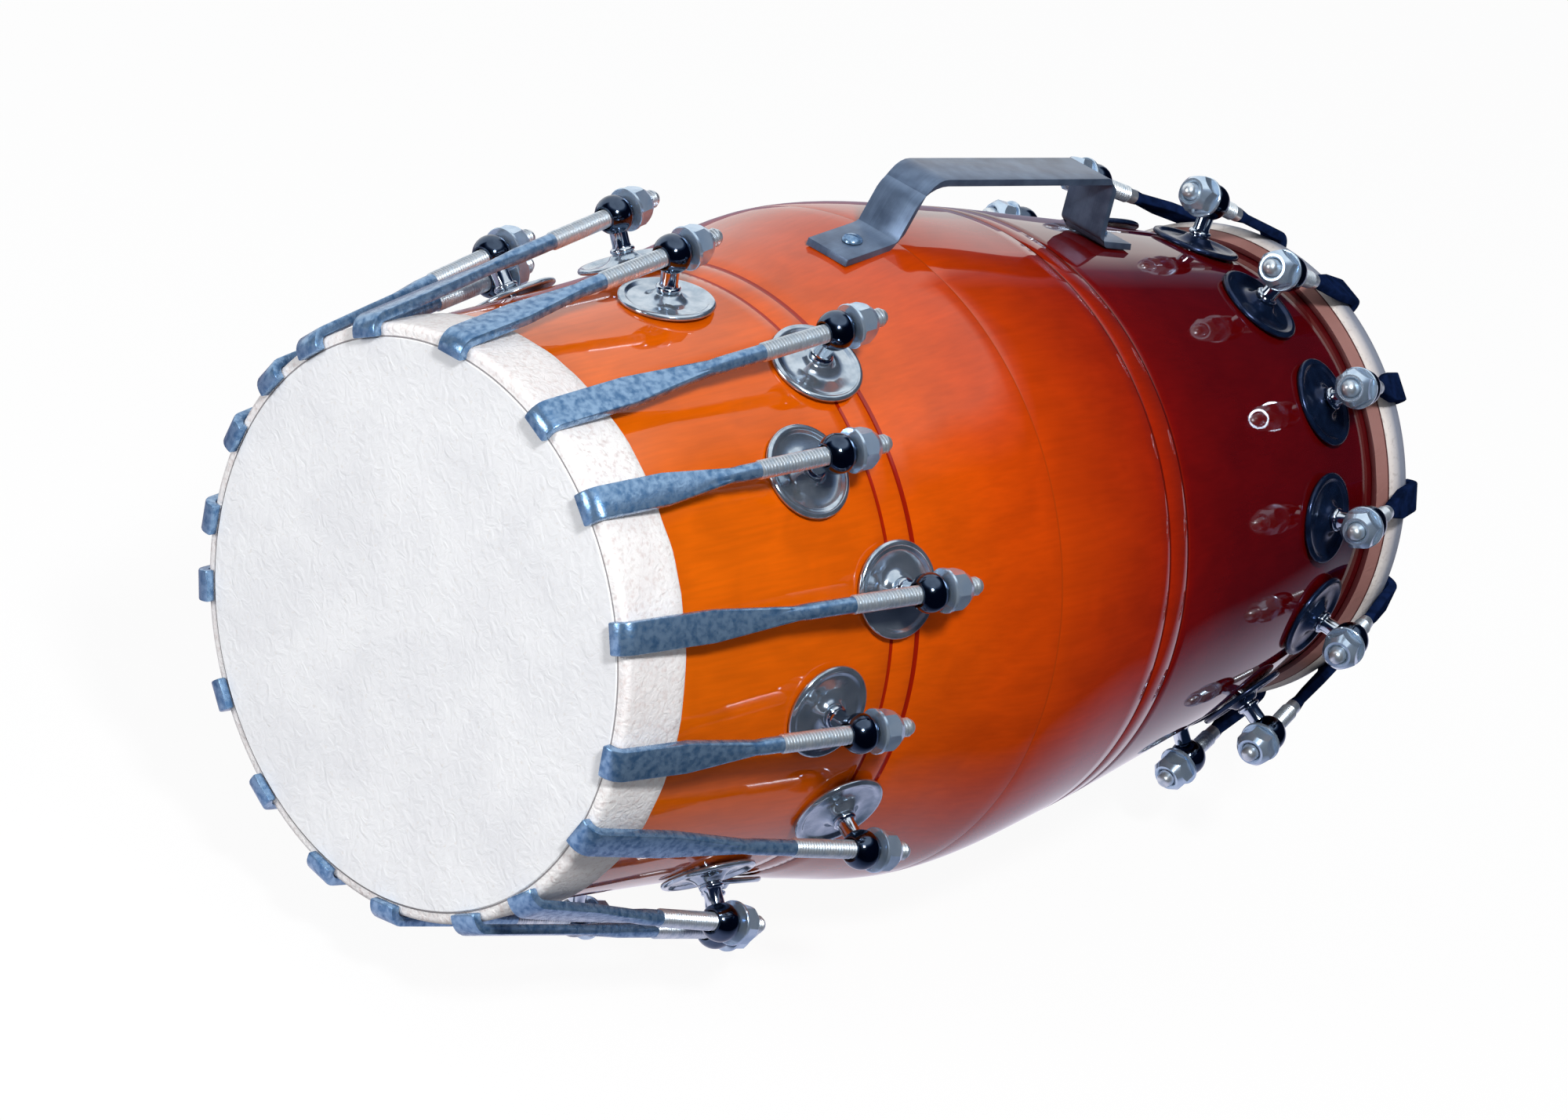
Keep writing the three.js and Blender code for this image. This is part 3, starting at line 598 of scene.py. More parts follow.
def add_node(tree, kind, settings=None, links=None, output=None):
    """Adds a node with its settings and its links, and gives back the output that is asked for, or else
    the first that it uses. Settings are the node's own, its sockets by name or number, or a ramp's
    stops."""
    node = tree.nodes.new(kind)
    for key, value in (settings or {}).items():
        if key == "stops":
            elements = node.color_ramp.elements
            while len(elements) < len(value):
                elements.new(0.5)
            for element, (place, colour) in zip(elements, value):
                element.position = place
                element.color = colour
        elif isinstance(key, str) and hasattr(node, key):
            setattr(node, key, value)
        else:
            node.inputs[key].default_value = value
    for key, source in (links or {}).items():
        tree.links.new(source, node.inputs[key])
    return node.outputs[output] if output else next(socket for socket in node.outputs if socket.enabled)


def new_material(name, **shader):
    """A new material with its shader's own values, and the function that adds nodes to it."""
    material = bpy.data.materials.new(name)
    material.use_nodes = True
    principled = material.node_tree.nodes["Principled BSDF"]
    for key, value in shader.items():
        principled.inputs[key.replace("_", " ")].default_value = value
    return material, partial(add_node, material.node_tree)


def linked(material, inputs, node="Principled BSDF"):
    """Links the inputs of a node that the material, or the world, starts with."""
    tree = material.node_tree
    for key, source in inputs.items():
        tree.links.new(source, tree.nodes[node].inputs[key])
    return material


def lacquered_wood():
    """Turned mango wood, stained orange to dark red and lacquered: a wet gloss over faint streaks."""
    material, add = new_material(
        "lacquered_mango_wood",
        Roughness=0.45,
        Specular_IOR_Level=0.0,
        Coat_Weight=1.0,
        Coat_Roughness=0.04,
        Coat_IOR=1.53,
    )
    place = add(PLACE, output="Object")
    along = add(SPLIT, links={"Vector": place}, output="X")
    grain = {}
    for name, (sizes, settings) in GRAIN.items():
        scaled = add("ShaderNodeMapping", per(*sizes), {"Vector": place})
        grain[name] = add(NOISE, {"Scale": 1.0, **settings}, {"Vector": scaled})
    drift = {"operation": "MULTIPLY_ADD", 1: STAIN_DRIFT, 2: -STAIN_DRIFT / 2}
    shift = add(MATHS, drift, {0: grain["drift"]})
    moved = add(MATHS, {"operation": "ADD"}, {0: along, 1: shift})
    share = add(MATHS, {"operation": "DIVIDE", 1: DRUM_LENGTH}, {0: moved})
    stain = add(RAMP, stops(STAIN_STOPS), {"Fac": share})
    dark = add(RAMP, stops(DARK_STAIN_STOPS), {"Fac": share})
    start, stop = [GROOVES[-1][0] + way for way in DARK_STAIN_FADE]
    behind = add(FADE, {"From Min": start, "From Max": stop}, {"Value": along})
    colour = add(MIX, BLEND, {0: behind, 6: stain, 7: dark})
    for name, (low, high) in GRAIN_TONES.items():
        tones = {"stops": [(0.33, grey(low)), (0.67, grey(high))]}
        tone = add(RAMP, tones, {"Fac": grain[name]})
        colour = add(MIX, {**SHADE, 0: 1.0}, {6: colour, 7: tone})
    for (middle, half, _), shade in zip(GROOVES, GROOVE_STAINS):
        line = {"operation": "COMPARE", 1: middle, 2: half * GROOVE_STAIN_SHARE}
        in_groove = add(MATHS, line, {0: along})
        colour = add(MIX, {**BLEND, 7: linear(shade)}, {0: in_groove, 6: colour})
    bump = add(BUMP, {"Distance": RIPPLE_DEPTH, "Strength": 0.14}, {"Height": grain["ripple"]})
    return linked(material, {"Base Color": colour, "Coat Normal": bump})


def rawhide(name, finish, marks):
    """Scraped goat rawhide, dried tight: chalky and matt, with soft clouds, fine wrinkles and hair pores.
    Marks are rings of another colour, at a distance from the drum's axis or along it, and a painted shade
    fades in to another colour along the drum."""
    base, cloud, pore, pore_rarity, wrinkle_size, wrinkle_depth = finish
    material, add = new_material(name, Roughness=0.6, Specular_IOR_Level=0.3)
    place = add(PLACE, output="Object")
    cloudy = {"Scale": 1 / HIDE_CLOUD_SIZE, "Detail": 4.0, "Distortion": 0.6}
    clouds = add(NOISE, cloudy, {"Vector": place})
    mask = add(FADE, {"From Min": 0.36, "From Max": 0.66}, {"Value": clouds})
    colour = add(MIX, {**BLEND, 6: linear(base), 7: linear(cloud)}, {0: mask})
    pores = add(NOISE, {"Scale": 1 / HIDE_PORE_SIZE, "Detail": 4.0}, {"Vector": place})
    mask = add(FADE, {"From Min": pore_rarity, "From Max": pore_rarity + 0.2}, {"Value": pores})
    colour = add(MIX, {**BLEND, 7: linear(pore)}, {0: mask, 6: colour})
    along = add(SPLIT, links={"Vector": place}, output="X")
    around = add(VECTORS, {"operation": "MULTIPLY", 1: (0, 1, 1)}, {0: place})
    from_axis = add(VECTORS, {"operation": "LENGTH"}, {0: around}, output="Value")
    for way, start, stop, shade in marks:
        # the painted shade fades in along the drum
        if way == "shaded along":
            mask = add(FADE, {"From Min": start, "From Max": stop}, {"Value": along})
        else:
            half = (stop - start) / 2
            ring = {"operation": "COMPARE", 1: start + half, 2: half}
            mask = add(MATHS, ring, {0: along if way == "along" else from_axis})
        colour = add(MIX, {**BLEND, 7: linear(shade)}, {0: mask, 6: colour})
    wrinkled = {"Scale": 1 / wrinkle_size, "Detail": 6.0, "Distortion": 1.4}
    wrinkles = add(NOISE, wrinkled, {"Vector": place})
    bump = add(BUMP, {"Distance": wrinkle_depth, "Strength": 0.6}, {"Height": wrinkles})
    return linked(material, {"Base Color": colour, "Normal": bump})


def steel(name, base, dull, patch, roughness, dull_roughness, pit_size, pit_depth, metallic, specular):
    """Steel that is bright, with cloudy duller patches where it is handled, and the pits of its forging.
    A plating's thin oxide scatters part of the light, which a lower metallic value gives."""
    material, add = new_material(name, Metallic=metallic, Specular_IOR_Level=specular)
    place = add(PLACE, output="Object")
    clouds = add(NOISE, {"Scale": 1 / patch, "Detail": 4.0}, {"Vector": place})
    mask = add(FADE, {"From Min": 0.38, "From Max": 0.68}, {"Value": clouds})
    colour = add(MIX, {**BLEND, 6: linear(base), 7: linear(dull)}, {0: mask})
    gloss = add(FADE, {"To Min": roughness, "To Max": dull_roughness}, {"Value": mask})
    pits = add(NOISE, {"Scale": 1 / pit_size, "Detail": 2.0}, {"Vector": place})
    bump = add(BUMP, {"Distance": pit_depth, "Strength": 0.4}, {"Height": pits})
    return linked(material, {"Base Color": colour, "Roughness": gloss, "Normal": bump})


def brushed_steel():
    """Cold-rolled strip steel, brushed along its length: slate grey, with fine streaks in its shine."""
    material, add = new_material("brushed_strip_steel", Metallic=0.6)
    place = add(PLACE, output="Object")
    scaled = add("ShaderNodeMapping", per(*BRUSH_MARKS), {"Vector": place})
    streaks = add(NOISE, {"Scale": 1.0, "Detail": 4.0}, {"Vector": scaled})
    clouds = add(NOISE, {"Scale": 1 / BRUSH_PATCH_SIZE, "Detail": 4.0}, {"Vector": place})
    mask = add(FADE, {"From Min": 0.35, "From Max": 0.7}, {"Value": clouds})
    colour = add(MIX, {**BLEND, 6: linear("#7085a1"), 7: linear("#4b5c76")}, {0: mask})
    tone = add(RAMP, {"stops": [(0.3, grey(0.8)), (0.7, grey(1))]}, {"Fac": streaks})
    colour = add(MIX, {**SHADE, 0: 0.8}, {6: colour, 7: tone})
    gloss = add(FADE, {"To Min": 0.26, "To Max": 0.42}, {"Value": streaks})
    bump = add(BUMP, {"Distance": BRUSH_DEPTH, "Strength": 0.4}, {"Height": streaks})
    return linked(material, {"Base Color": colour, "Roughness": gloss, "Normal": bump})


def tarry_paste():
    """Tar, clay and sand, pressed on by hand: matt, dark and lumpy."""
    material, add = new_material("tarry_tuning_paste", Roughness=0.85)
    place = add(PLACE, output="Object")
    lumps = add(NOISE, {"Scale": 1 / PASTE_LUMP_SIZE, "Detail": 5.0}, {"Vector": place})
    colour = add(RAMP, stops([(0.3, "#1f1a18"), (0.7, "#3a312c")]), {"Fac": lumps})
    bump = add(BUMP, {"Distance": PASTE_LUMP_DEPTH, "Strength": 0.8}, {"Height": lumps})
    return linked(material, {"Base Color": colour, "Normal": bump})


WOOD = lacquered_wood()
FACE_HIDE = rawhide("scraped_goat_rawhide", FACE_FINISH, BASS_MARKS)
COLLAR_HIDE = rawhide("rough_rawhide_collar", COLLAR_FINISH, BASS_MARKS)
TREBLE_HIDE = rawhide("cream_rawhide_roll", TREBLE_FINISH, TREBLE_MARKS)
STEELS = {name: steel(name, *finish) for name, finish in STEEL_FINISHES.items()}
BRUSHED = brushed_steel()
PASTE = tarry_paste()


def painted(piece, *materials):
    piece.data.materials.clear()
    for material in materials:
        piece.data.materials.append(material)
    return piece


def dressed(piece, slot, *nodes, body="drum"):
    """Finishes a piece: it rides on its body and stands for the nodes."""
    if nodes:
        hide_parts(*nodes)
    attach(piece, body)
    return piece


# The barrel.

def groove_points(x):
    """The outline's points at a place: one, or a rounded dip where a groove is."""
    for middle, half, depth in GROOVES:
        if abs(x - middle) < WELD:
            dips = [(middle + way * half, deep * depth) for way, deep in GROOVE_SHARES]
            return [(place, wood_radius(place) - dip) for place, dip in dips]
    return [(x, wood_radius(x))]


def bore_point(x):
    """The point of the bore that lies a wall's thickness under a point of the outside."""
    slope = (wood_radius(x + SLOPE_STEP) - wood_radius(x - SLOPE_STEP)) / (2 * SLOPE_STEP)
    length = math.hypot(1, slope)
    return x + slope / length * WALL, wood_radius(x) - WALL / length


def barrel():
    start = BASS_END.wood_start
    stop = TREBLE_END.from_face(TREBLE_END.wood_start)
    first, last = start + EDGE_ROUND, stop - EDGE_ROUND
    steps = round((last - first) / WOOD_STEP)
    places = [first + (last - first) * i / steps for i in range(steps + 1)]
    for middle, half, _ in GROOVES:
        places = [x for x in places if abs(x - middle) > GROOVE_ROOM * half]
    places = sorted(places + [middle for middle, _, _ in GROOVES])
    outside = [point for x in places for point in groove_points(x)]
    inside = [bore_point(x) for x in places if first + WALL < x < last - WALL]
    bass_edge, treble_edge = wood_radius(start), wood_radius(stop)
    outline = [(start, bass_edge - EDGE_ROUND), *outside, (stop, treble_edge - EDGE_ROUND)]
    outline += [(stop, treble_edge - WALL + EDGE_ROUND), (last, treble_edge - WALL), *inside[::-1]]
    outline += [(first, bass_edge - WALL), (start, bass_edge - WALL + EDGE_ROUND), outline[0]]
    piece = turned("barrel", [(radius, x) for x, radius in outline], DRUM_SIDES)
    put(piece, ALONG_X)
    return smoothed(painted(piece, WOOD), SOFT_FOLD)


# The heads.

def crumpled(piece, name, size, depth, chosen, direction="NORMAL"):
    """Moves the chosen points of a hide in and out by soft clouds, as it dried."""
    group = piece.vertex_groups.new(name=name)
    group.add([v.index for v in piece.data.vertices if chosen(v.co)], 1.0, "REPLACE")
    clouds = bpy.data.textures.new(name, "CLOUDS")
    clouds.noise_scale = size
    only(piece)
    tool = piece.modifiers.new(name, "DISPLACE")
    tool.texture = clouds
    tool.texture_coords = "LOCAL"
    tool.vertex_group = name
    tool.strength = depth
    tool.mid_level = 0.5
    tool.direction = direction
    bpy.ops.object.modifier_apply(modifier=tool.name)
    return piece


def head(name, end):
    """A hide lapped over its hoop: a flat face, a crease, a rounded rim, and a collar down the wood that
    ends in a ragged edge."""
    face, shoulder, rear = end.face_radius, end.shoulder, end.collar_length
    outline = [(0, 0)]
    outline += [(face * share, 0) for share in FACE_SHARES]
    outline += [(face, 0), (face + FACE_STEP / 2, FACE_STEP * STEP_SHARE), (face + FACE_STEP, FACE_STEP)]
    outline += [
        (end.bend_radius + shoulder * sine, FACE_STEP + shoulder * end.roll_share * (1 - cosine))
        for sine, cosine in arc(math.pi / 2, BEND_STEPS)
    ]
    outline.append((end.rim_radius, end.pocket_end))
    edge = radius_at(end, rear) + FIT_GAP + end.collar_edge
    for share in COLLAR_SHARES:
        along = end.pocket_end + share * (rear - end.pocket_end)
        outline.append((end.rim_radius + share * (edge - end.rim_radius), along))
    outline.append((edge - end.collar_edge * HEM_ROUND_SHARE, rear))
    outline += [(radius_at(end, along) + FIT_GAP, along) for along in end.collar_seats[::-1]]
    back = FACE_STEP + SKIN_THICKNESS
    outline += [(end.pocket_radius, end.pocket_end), (end.pocket_radius, back), (0, back)]
    piece = put(turned(name, outline, DRUM_SIDES), ALONG_X)

    def at_edge(place):
        return place.x > rear - end.rag_reach

    return crumpled(piece, "ragged_edge", end.rag_size, end.rag_depth, at_edge, "X")


def radius_of(place):
    return math.hypot(place.y, place.z)


def two_hides(piece, end, inner, outer):
    """The face inside the crease is one finish, and the collar outside it another."""
    painted(piece, inner, outer)
    for polygon in piece.data.polygons:
        inside = radius_of(polygon.center) < end.face_radius + FACE_STEP / 2
        near_face = polygon.center.x < FACE_STEP + 2 * SKIN_THICKNESS
        polygon.material_index = 0 if inside and near_face else 1
    return piece


def bass_head():
    def on_collar(place):
        outside = radius_of(place) > radius_at(BASS_END, place.x) + 2 * FIT_GAP
        return outside and BASS_END.pocket_end < place.x < BASS_END.collar_length - COLLAR_HEM

    piece = head("bass_head", BASS_END)
    crumpled(piece, "soft_collar", COLLAR_FOLD_SIZE, COLLAR_FOLD_DEPTH, on_collar)
    return smoothed(two_hides(piece, BASS_END, FACE_HIDE, COLLAR_HIDE), SOFT_FOLD)


def treble_head():
    piece = head("treble_head", TREBLE_END)
    two_hides(piece, TREBLE_END, FACE_HIDE, TREBLE_HIDE)
    put(piece, Matrix.Translation((DRUM_LENGTH, 0, 0)) @ Matrix.Rotation(math.pi, 4, "Z"))
    return smoothed(piece, SOFT_FOLD)


# The tuning gear, each kind modelled once at the origin and copied to its places.

def rod_outline(cone_start, start, beyond_nut):
    """The rod's outline along its length: it swells out of the strip, and is threaded to its rounded
    tip."""
    root = ROD_RADIUS - THREAD_DEPTH
    tip = NUT_END + beyond_nut
    thread_start = max(-THREAD_LENGTH, start + 3 * THREAD_PITCH)
    hidden = STRIP_THICKNESS / 2 - STRIP_BEVEL / 2
    points = [(0, cone_start), (hidden, cone_start), (root, start), (root, thread_start - THREAD_PITCH)]
    turns = int((tip - ROD_TIP_ROUND - thread_start) / THREAD_PITCH)
    for i in range(turns):
        along = thread_start + i * THREAD_PITCH
        points += [(root, along)] + [(ROD_RADIUS, along + share * THREAD_PITCH) for share in CREST_SHARES]
    points.append((root, tip - ROD_TIP_ROUND))
    for sine, cosine in arc(math.pi / 2, BEND_STEPS)[1:-1]:
        points.append((root * cosine, tip - ROD_TIP_ROUND * (1 - sine)))
    points.append((0, tip))
    return points


def hook_master(name, line, strip_steel, beyond_nut):
    """A hook: a flat strip bent over the rim, forged down to a round rod that is threaded at its end."""
    length, bend = line.length, line.bend
    strip_end = length * STRIP_FULL_SHARE - length
    taper_end = length * STRIP_END_SHARE - length
    full = (STRIP_WIDTH, STRIP_THICKNESS)
    places = [(taper_end, 0, 0), (strip_end, 0, 0)]
    sizes = [(NECK_WIDTH, STRIP_THICKNESS), full]
    sweep = math.pi / 2 - line.dip
    for i in range(BEND_STEPS + 1):
        lean = sweep * i / BEND_STEPS
        places.append((-length - bend * math.sin(lean), bend * (math.cos(lean) - 1), lean))
        sizes.append(full)
    lip_x, lip_z, _ = places[-1]
    places.append((lip_x - LIP_DROP * math.cos(sweep), lip_z - LIP_DROP * math.sin(sweep), sweep))
    sizes.append(full)
    hook = bevelled(strap(name, places, sizes), STRIP_BEVEL, segments=2, degrees=40)
    cone_start = strip_end + CONE_SHARE * (taper_end - strip_end)
    rod = turned(name + "_rod", rod_outline(cone_start, taper_end, beyond_nut), ROD_SIDES)
    cut(hook, put(rod, ALONG_X), "UNION")
    painted(hook, strip_steel, STEELS["rolled_thread_steel"])
    for polygon in hook.data.polygons:
        polygon.material_index = 1 if polygon.center.x > max(-THREAD_LENGTH, taper_end) else 0
    return smoothed(hook, HOOK_FOLD)


def nut_master(across_flats, height, end_radius, taper):
    """A hexagon nut on the floor of its own frame: its seat is chamfered, its other end tapers to a radius
    over a height, and its bore is countersunk."""
    corner = across_flats / math.sqrt(3)
    nut = new_piece("nut", bpy.ops.mesh.primitive_cylinder_add, vertices=6, radius=corner, depth=height)
    put(nut, Matrix.Translation((0, 0, height / 2)))
    flat = across_flats / 2 * NUT_FACE_SHARE
    slope = NUT_CHAMFER_SLOPE
    widest = corner + NUT_CHAMFER_OVERRUN
    taper_slope = taper / (corner - end_radius)
    chamfer = [
        (0, -height),
        (2 * flat - widest, (flat - widest) * slope),
        (widest, (widest - flat) * slope),
        (widest, height - taper - (widest - corner) * taper_slope),
        (end_radius / 2, height + end_radius / 2 * taper_slope),
        (0, 2 * height),
    ]
    cut(nut, turned("nut_chamfer", chamfer, CUP_SIDES), "INTERSECT")
    bore = ROD_RADIUS + FIT_GAP
    sink = bore + height + SINK_DEPTH
    low = [(0, -height), (sink, -height), (bore, SINK_DEPTH)]
    high = [(bore, height - SINK_DEPTH), (sink, 2 * height), (0, 2 * height)]
    cut(nut, turned("nut_bore", low + high, ROD_SIDES))
    return nut


def joined(piece, other):
    only(piece)
    other.select_set(True)
    bpy.ops.object.join()
    return piece


def washer_master():
    """The washer under the tuning nut, with its outer edges broken."""
    bore = ROD_RADIUS + FIT_GAP
    under, over = WASHER_START, NUT_START - WASHER_GAP
    edge = WASHER_RADIUS - WASHER_BEVEL
    outline = [
        (bore, under),
        (edge, under),
        (WASHER_RADIUS, under + WASHER_BEVEL),
        (WASHER_RADIUS, NUT_START - WASHER_BEVEL),
        (edge, over),
        (bore, over),
        (bore, under),
    ]
    return turned("washer", outline, CUP_SIDES)


def tuning_nut_master():
    nut = nut_master(NUT_ACROSS_FLATS, NUT_HEIGHT, NUT_END_RADIUS, NUT_HEIGHT * NUT_TAPER_SHARE)
    put(nut, Matrix.Translation((0, 0, NUT_START)))
    joined(nut, washer_master())
    nut.name = "tuning_nut_master"
    put(nut, ALONG_X)
    return smoothed(painted(nut, STEELS["zinc_plated_steel"]), SHARP_FOLD)


def inner_seat(end, along):
    """How deep the inner nut lies under the escutcheon's seat."""
    corner = INNER_NUT_ACROSS_FLATS / math.sqrt(3)
    slope, height = seat_on(end, along, CUP_RADIUS)
    inside = radius_at(end, along) - WALL
    hollow = inside - math.sqrt(inside**2 - corner**2)
    tilt = abs(seat_on(end, along, corner)[0] - slope) * corner
    return WALL + hollow + height - radius_at(end, along) + tilt + INNER_NUT_GAP


def shank_outline(end, along):
    """The eyebolt's shank: through the wood, with a small bead on the escutcheon, and up into its ball."""
    low = -inner_seat(end, along) - INNER_NUT_HEIGHT - SHANK_OVERRUN
    foot = FIT_GAP + CUP_BOSS_HEIGHT + SHANK_BEAD / 4
    top = EYE_STANDOFF - (BORE_RADIUS + EYE_RADIUS) / 2
    waist = SHANK_RADIUS * SHANK_WAIST_SHARE
    outline = [(0, low), (SHANK_RADIUS - SHANK_BEAD, low), (SHANK_RADIUS, low + SHANK_BEAD)]
    outline.append((SHANK_RADIUS, foot))
    for sine, cosine in arc(math.pi, BEND_STEPS):
        outline.append((SHANK_RADIUS + SHANK_BEAD * sine, foot + SHANK_BEAD * (1 - cosine)))
    outline += [(waist, foot + 3 * SHANK_BEAD), (waist, top), (0, top)]
    return outline


def ball(name):
    """The eyebolt's ball, flat where the rod comes out, and bored for it."""
    reach = math.asin(EYE_WIDTH / 2 / EYE_RADIUS)
    steps = arc(reach, EYE_STEPS, -EYE_STEPS)
    outline = [(EYE_RADIUS * cosine, EYE_RADIUS * sine) for sine, cosine in steps]
    outline += [(BORE_RADIUS, EYE_WIDTH / 2), (BORE_RADIUS, -EYE_WIDTH / 2), outline[0]]
    return turned(name, outline, CUP_SIDES)


def eyebolt_master(name, end, along):
    """A forged eyebolt: a bored ball on a shank, with a nut inside the drum."""
    line = hook_line(end, along, 0)
    shank = turned(name, shank_outline(end, along), ROD_SIDES)
    eye = ball(name + "_ball")
    put(eye, seat_frame(end, along, CUP_RADIUS).inverted() @ hook_frame(line) @ ALONG_X)
    cut(shank, eye, "UNION")
    painted(shank, STEELS["chromed_steel"], STEELS["shade_dark_ball_steel"])
    middle = Vector((0, 0, EYE_STANDOFF))
    for polygon in shank.data.polygons:
        polygon.material_index = int((polygon.center - middle).length < EYE_RADIUS)
    end_radius = INNER_NUT_ACROSS_FLATS / 2 * NUT_FACE_SHARE
    nut = nut_master(INNER_NUT_ACROSS_FLATS, INNER_NUT_HEIGHT, end_radius, FIT_GAP)
    put(nut, Matrix.Translation((0, 0, -inner_seat(end, along) - INNER_NUT_HEIGHT)))
    return smoothed(joined(shank, nut), SHARP_FOLD)


def escutcheon_master():
    """A pressed steel cup: a rolled rim, a shallow dish with rings, and a low boss round the shank."""
    radii = {"hole": SHANK_RADIUS + SHANK_GAP, "boss": CUP_BOSS_RADIUS, "edge": CUP_RADIUS}
    heights = {"foot": 0, "boss": CUP_BOSS_HEIGHT, "dish": CUP_DISH_HEIGHT, "rim": CUP_RIM_HEIGHT}
    outline = []
    for radius, height, steps in CUP_OUTLINE:
        for out, up in steps:
            outline.append((radii[radius] + out * MM, FIT_GAP + heights[height] + up * MM))
    piece = turned("escutcheon_master", outline + outline[:1], CUP_SIDES)
    return smoothed(painted(piece, STEELS["polished_cup_steel"]), CUP_FOLD)


def tuner_masters():
    """A hook and an eyebolt for each post's place, with the length of the hook."""
    masters = {}
    for end, strip_steel in ((BASS_END, "forged_hook_steel"), (TREBLE_END, "shade_dark_hook_steel")):
        for along in end.posts:
            line = hook_line(end, along, 0)
            label = f"{end.side}_{round(along / MM)}"
            hook = hook_master(label + "_hook", line, STEELS[strip_steel], end.rod_beyond_nut)
            eyebolt = eyebolt_master(label + "_eyebolt", end, along)
            masters[end.side, along] = (line.length, hook, eyebolt)
    return masters


def tuners():
    """All the tuners: end, number, the post's and the hook's angle, the post's place, and if it moves."""
    places = []
    for i, (angle, hook_angle) in enumerate(zip(BASS_POST_ANGLES, BASS_HOOK_ANGLES)):
        places.append((BASS_END, i + 1, angle, hook_angle, BASS_END.posts[i % 2], i < BASS_JOINTED))
    for i in range(TREBLE_COUNT):
        angle = TREBLE_FIRST_ANGLE + i * 360 / TREBLE_COUNT
        places.append((TREBLE_END, i + 1, angle, angle, TREBLE_END.posts[i % 2], False))
    return places


def lengthened(hook, straight_length, length):
    """Moves the strip's half of a hook away from its eye, to reach the rim from a post out of line."""
    for vertex in hook.data.vertices:
        if vertex.co.x < -straight_length / 2:
            vertex.co.x -= length - straight_length
    return hook


def fit_tuners():
    nut = tuning_nut_master()
    cup = escutcheon_master()
    masters = tuner_masters()
    for end, number, angle, hook_angle, along, moves in tuners():
        side = end.side
        straight_length, hook, eyebolt = masters[side, along]
        line = hook_line(end, along, math.radians(hook_angle - angle))
        there = tuner_matrix(end, angle)
        post_there = there @ seat_frame(end, along, CUP_RADIUS)
        hook_there = there @ hook_frame(line)
        turn = Matrix.Rotation(line.sideways, 4, "Z")
        twist = Matrix.Rotation(math.radians(NUT_TURN_STEP * number), 4, "X")
        label = f"{number:02d}"
        bolt_piece = copy_of(eyebolt, f"{side}_eyebolt_{label}", post_there @ turn)
        cup_piece = copy_of(cup, f"{side}_escutcheon_{label}", post_there)
        # The treble cups take a darker copy of the cup steel, as painted shade.
        if side == "treble":
            painted(cup_piece, STEELS["shade_dark_cup_steel"])
        hook_piece = copy_of(hook, f"{side}_hook_{label}_steel", Matrix())
        put(lengthened(hook_piece, straight_length, line.length), hook_there)
        nut_piece = copy_of(nut, f"{side}_nut_{label}_steel", hook_there @ twist)
        if moves:
            dressed(bolt_piece, "plated_steel", f"bass_post_{label}")
            dressed(cup_piece, "plated_steel", f"bass_post_{label}")
            dressed(hook_piece, "plated_steel", f"bass_hook_{label}", body=f"hook_{label}")
            dressed(nut_piece, "plated_steel", f"bass_nut_{label}", body=f"nut_{label}")
        else:
            for piece in (bolt_piece, cup_piece, hook_piece, nut_piece):
                dressed(piece, "plated_steel", f"{side}_tuner_{label}")
    for master in [nut, cup] + [piece for _, *kinds in masters.values() for piece in kinds]:
        bpy.data.objects.remove(master)


# The handle.

def foot_line(start, stop):
    """The two ends of a foot's middle line, as it lies on the wood."""
    reach = (stop - start) / 2
    slope, height = seat_on(BASS_END, start + reach, reach)
    lift = FIT_GAP + HANDLE_THICKNESS / 2
    return [Vector((start + reach + way, height + slope * way + lift)) for way in (-reach, reach)]


def rounded_path(points, bends):
    """Places of (x, z, lean) along a path whose corners are rounded."""
    leans = [math.atan2(b.y - a.y, b.x - a.x) for a, b in zip(points, points[1:])]
    path = [(*points[0], leans[0])]
    for i, size in enumerate(bends):
        corner = points[i + 1]
        before, after = leans[i], leans[i + 1]
        start = corner - size * Vector((math.cos(before), math.sin(before)))
        turn = after - before
        radius = size / math.tan(abs(turn) / 2)
        side = 1 if turn > 0 else -1
        centre = start + side * radius * Vector((-math.sin(before), math.cos(before)))
        for step in range(BEND_STEPS + 1):
            lean = before + turn * step / BEND_STEPS
            spot = centre - side * radius * Vector((-math.sin(lean), math.cos(lean)))
            path.append((spot.x, spot.y, lean))
    path.append((*points[-1], leans[-1]))
    return path


def foot_frame(start, stop):
    return seat_frame(BASS_END, (start + stop) / 2, (stop - start) / 2)


def handle():
    """A flat steel strip, bent up from its two feet, with a hole through each foot."""
    (front_tip, front_bend), (rear_leg, rear_tip) = [foot_line(*foot) for foot in HANDLE_FEET]
    front_top = Vector((HANDLE_FRONT_TOP, surface_radius(HANDLE_FRONT_TOP) + HANDLE_FRONT_RISE))
    rear_top = rear_leg + Vector((0, HANDLE_REAR_RISE))
    bends = [HANDLE_SHARP_BEND, HANDLE_SOFT_BEND, HANDLE_SHARP_BEND, HANDLE_SHARP_BEND]
    path = rounded_path([front_tip, front_bend, front_top, rear_top, rear_leg, rear_tip], bends)
    # A lean grows as the bar climbs, and turning it round Y goes the other way.
    places = [(x, z, -lean) for x, z, lean in path]
    piece = strap("strap_handle", places, [(HANDLE_WIDTH, HANDLE_THICKNESS)] * len(places))
    bevelled(piece, HANDLE_BEVEL, segments=3, degrees=50)
    radius = SCREW_RADIUS + FIT_GAP
    for foot in HANDLE_FEET:
        hole = turned("screw_hole", [(0, -WALL), (radius, -WALL), (radius, WALL), (0, WALL)], ROD_SIDES)
        cut(piece, put(hole, foot_frame(*foot)))
    return smoothed(painted(piece, BRUSHED), SHARP_FOLD)


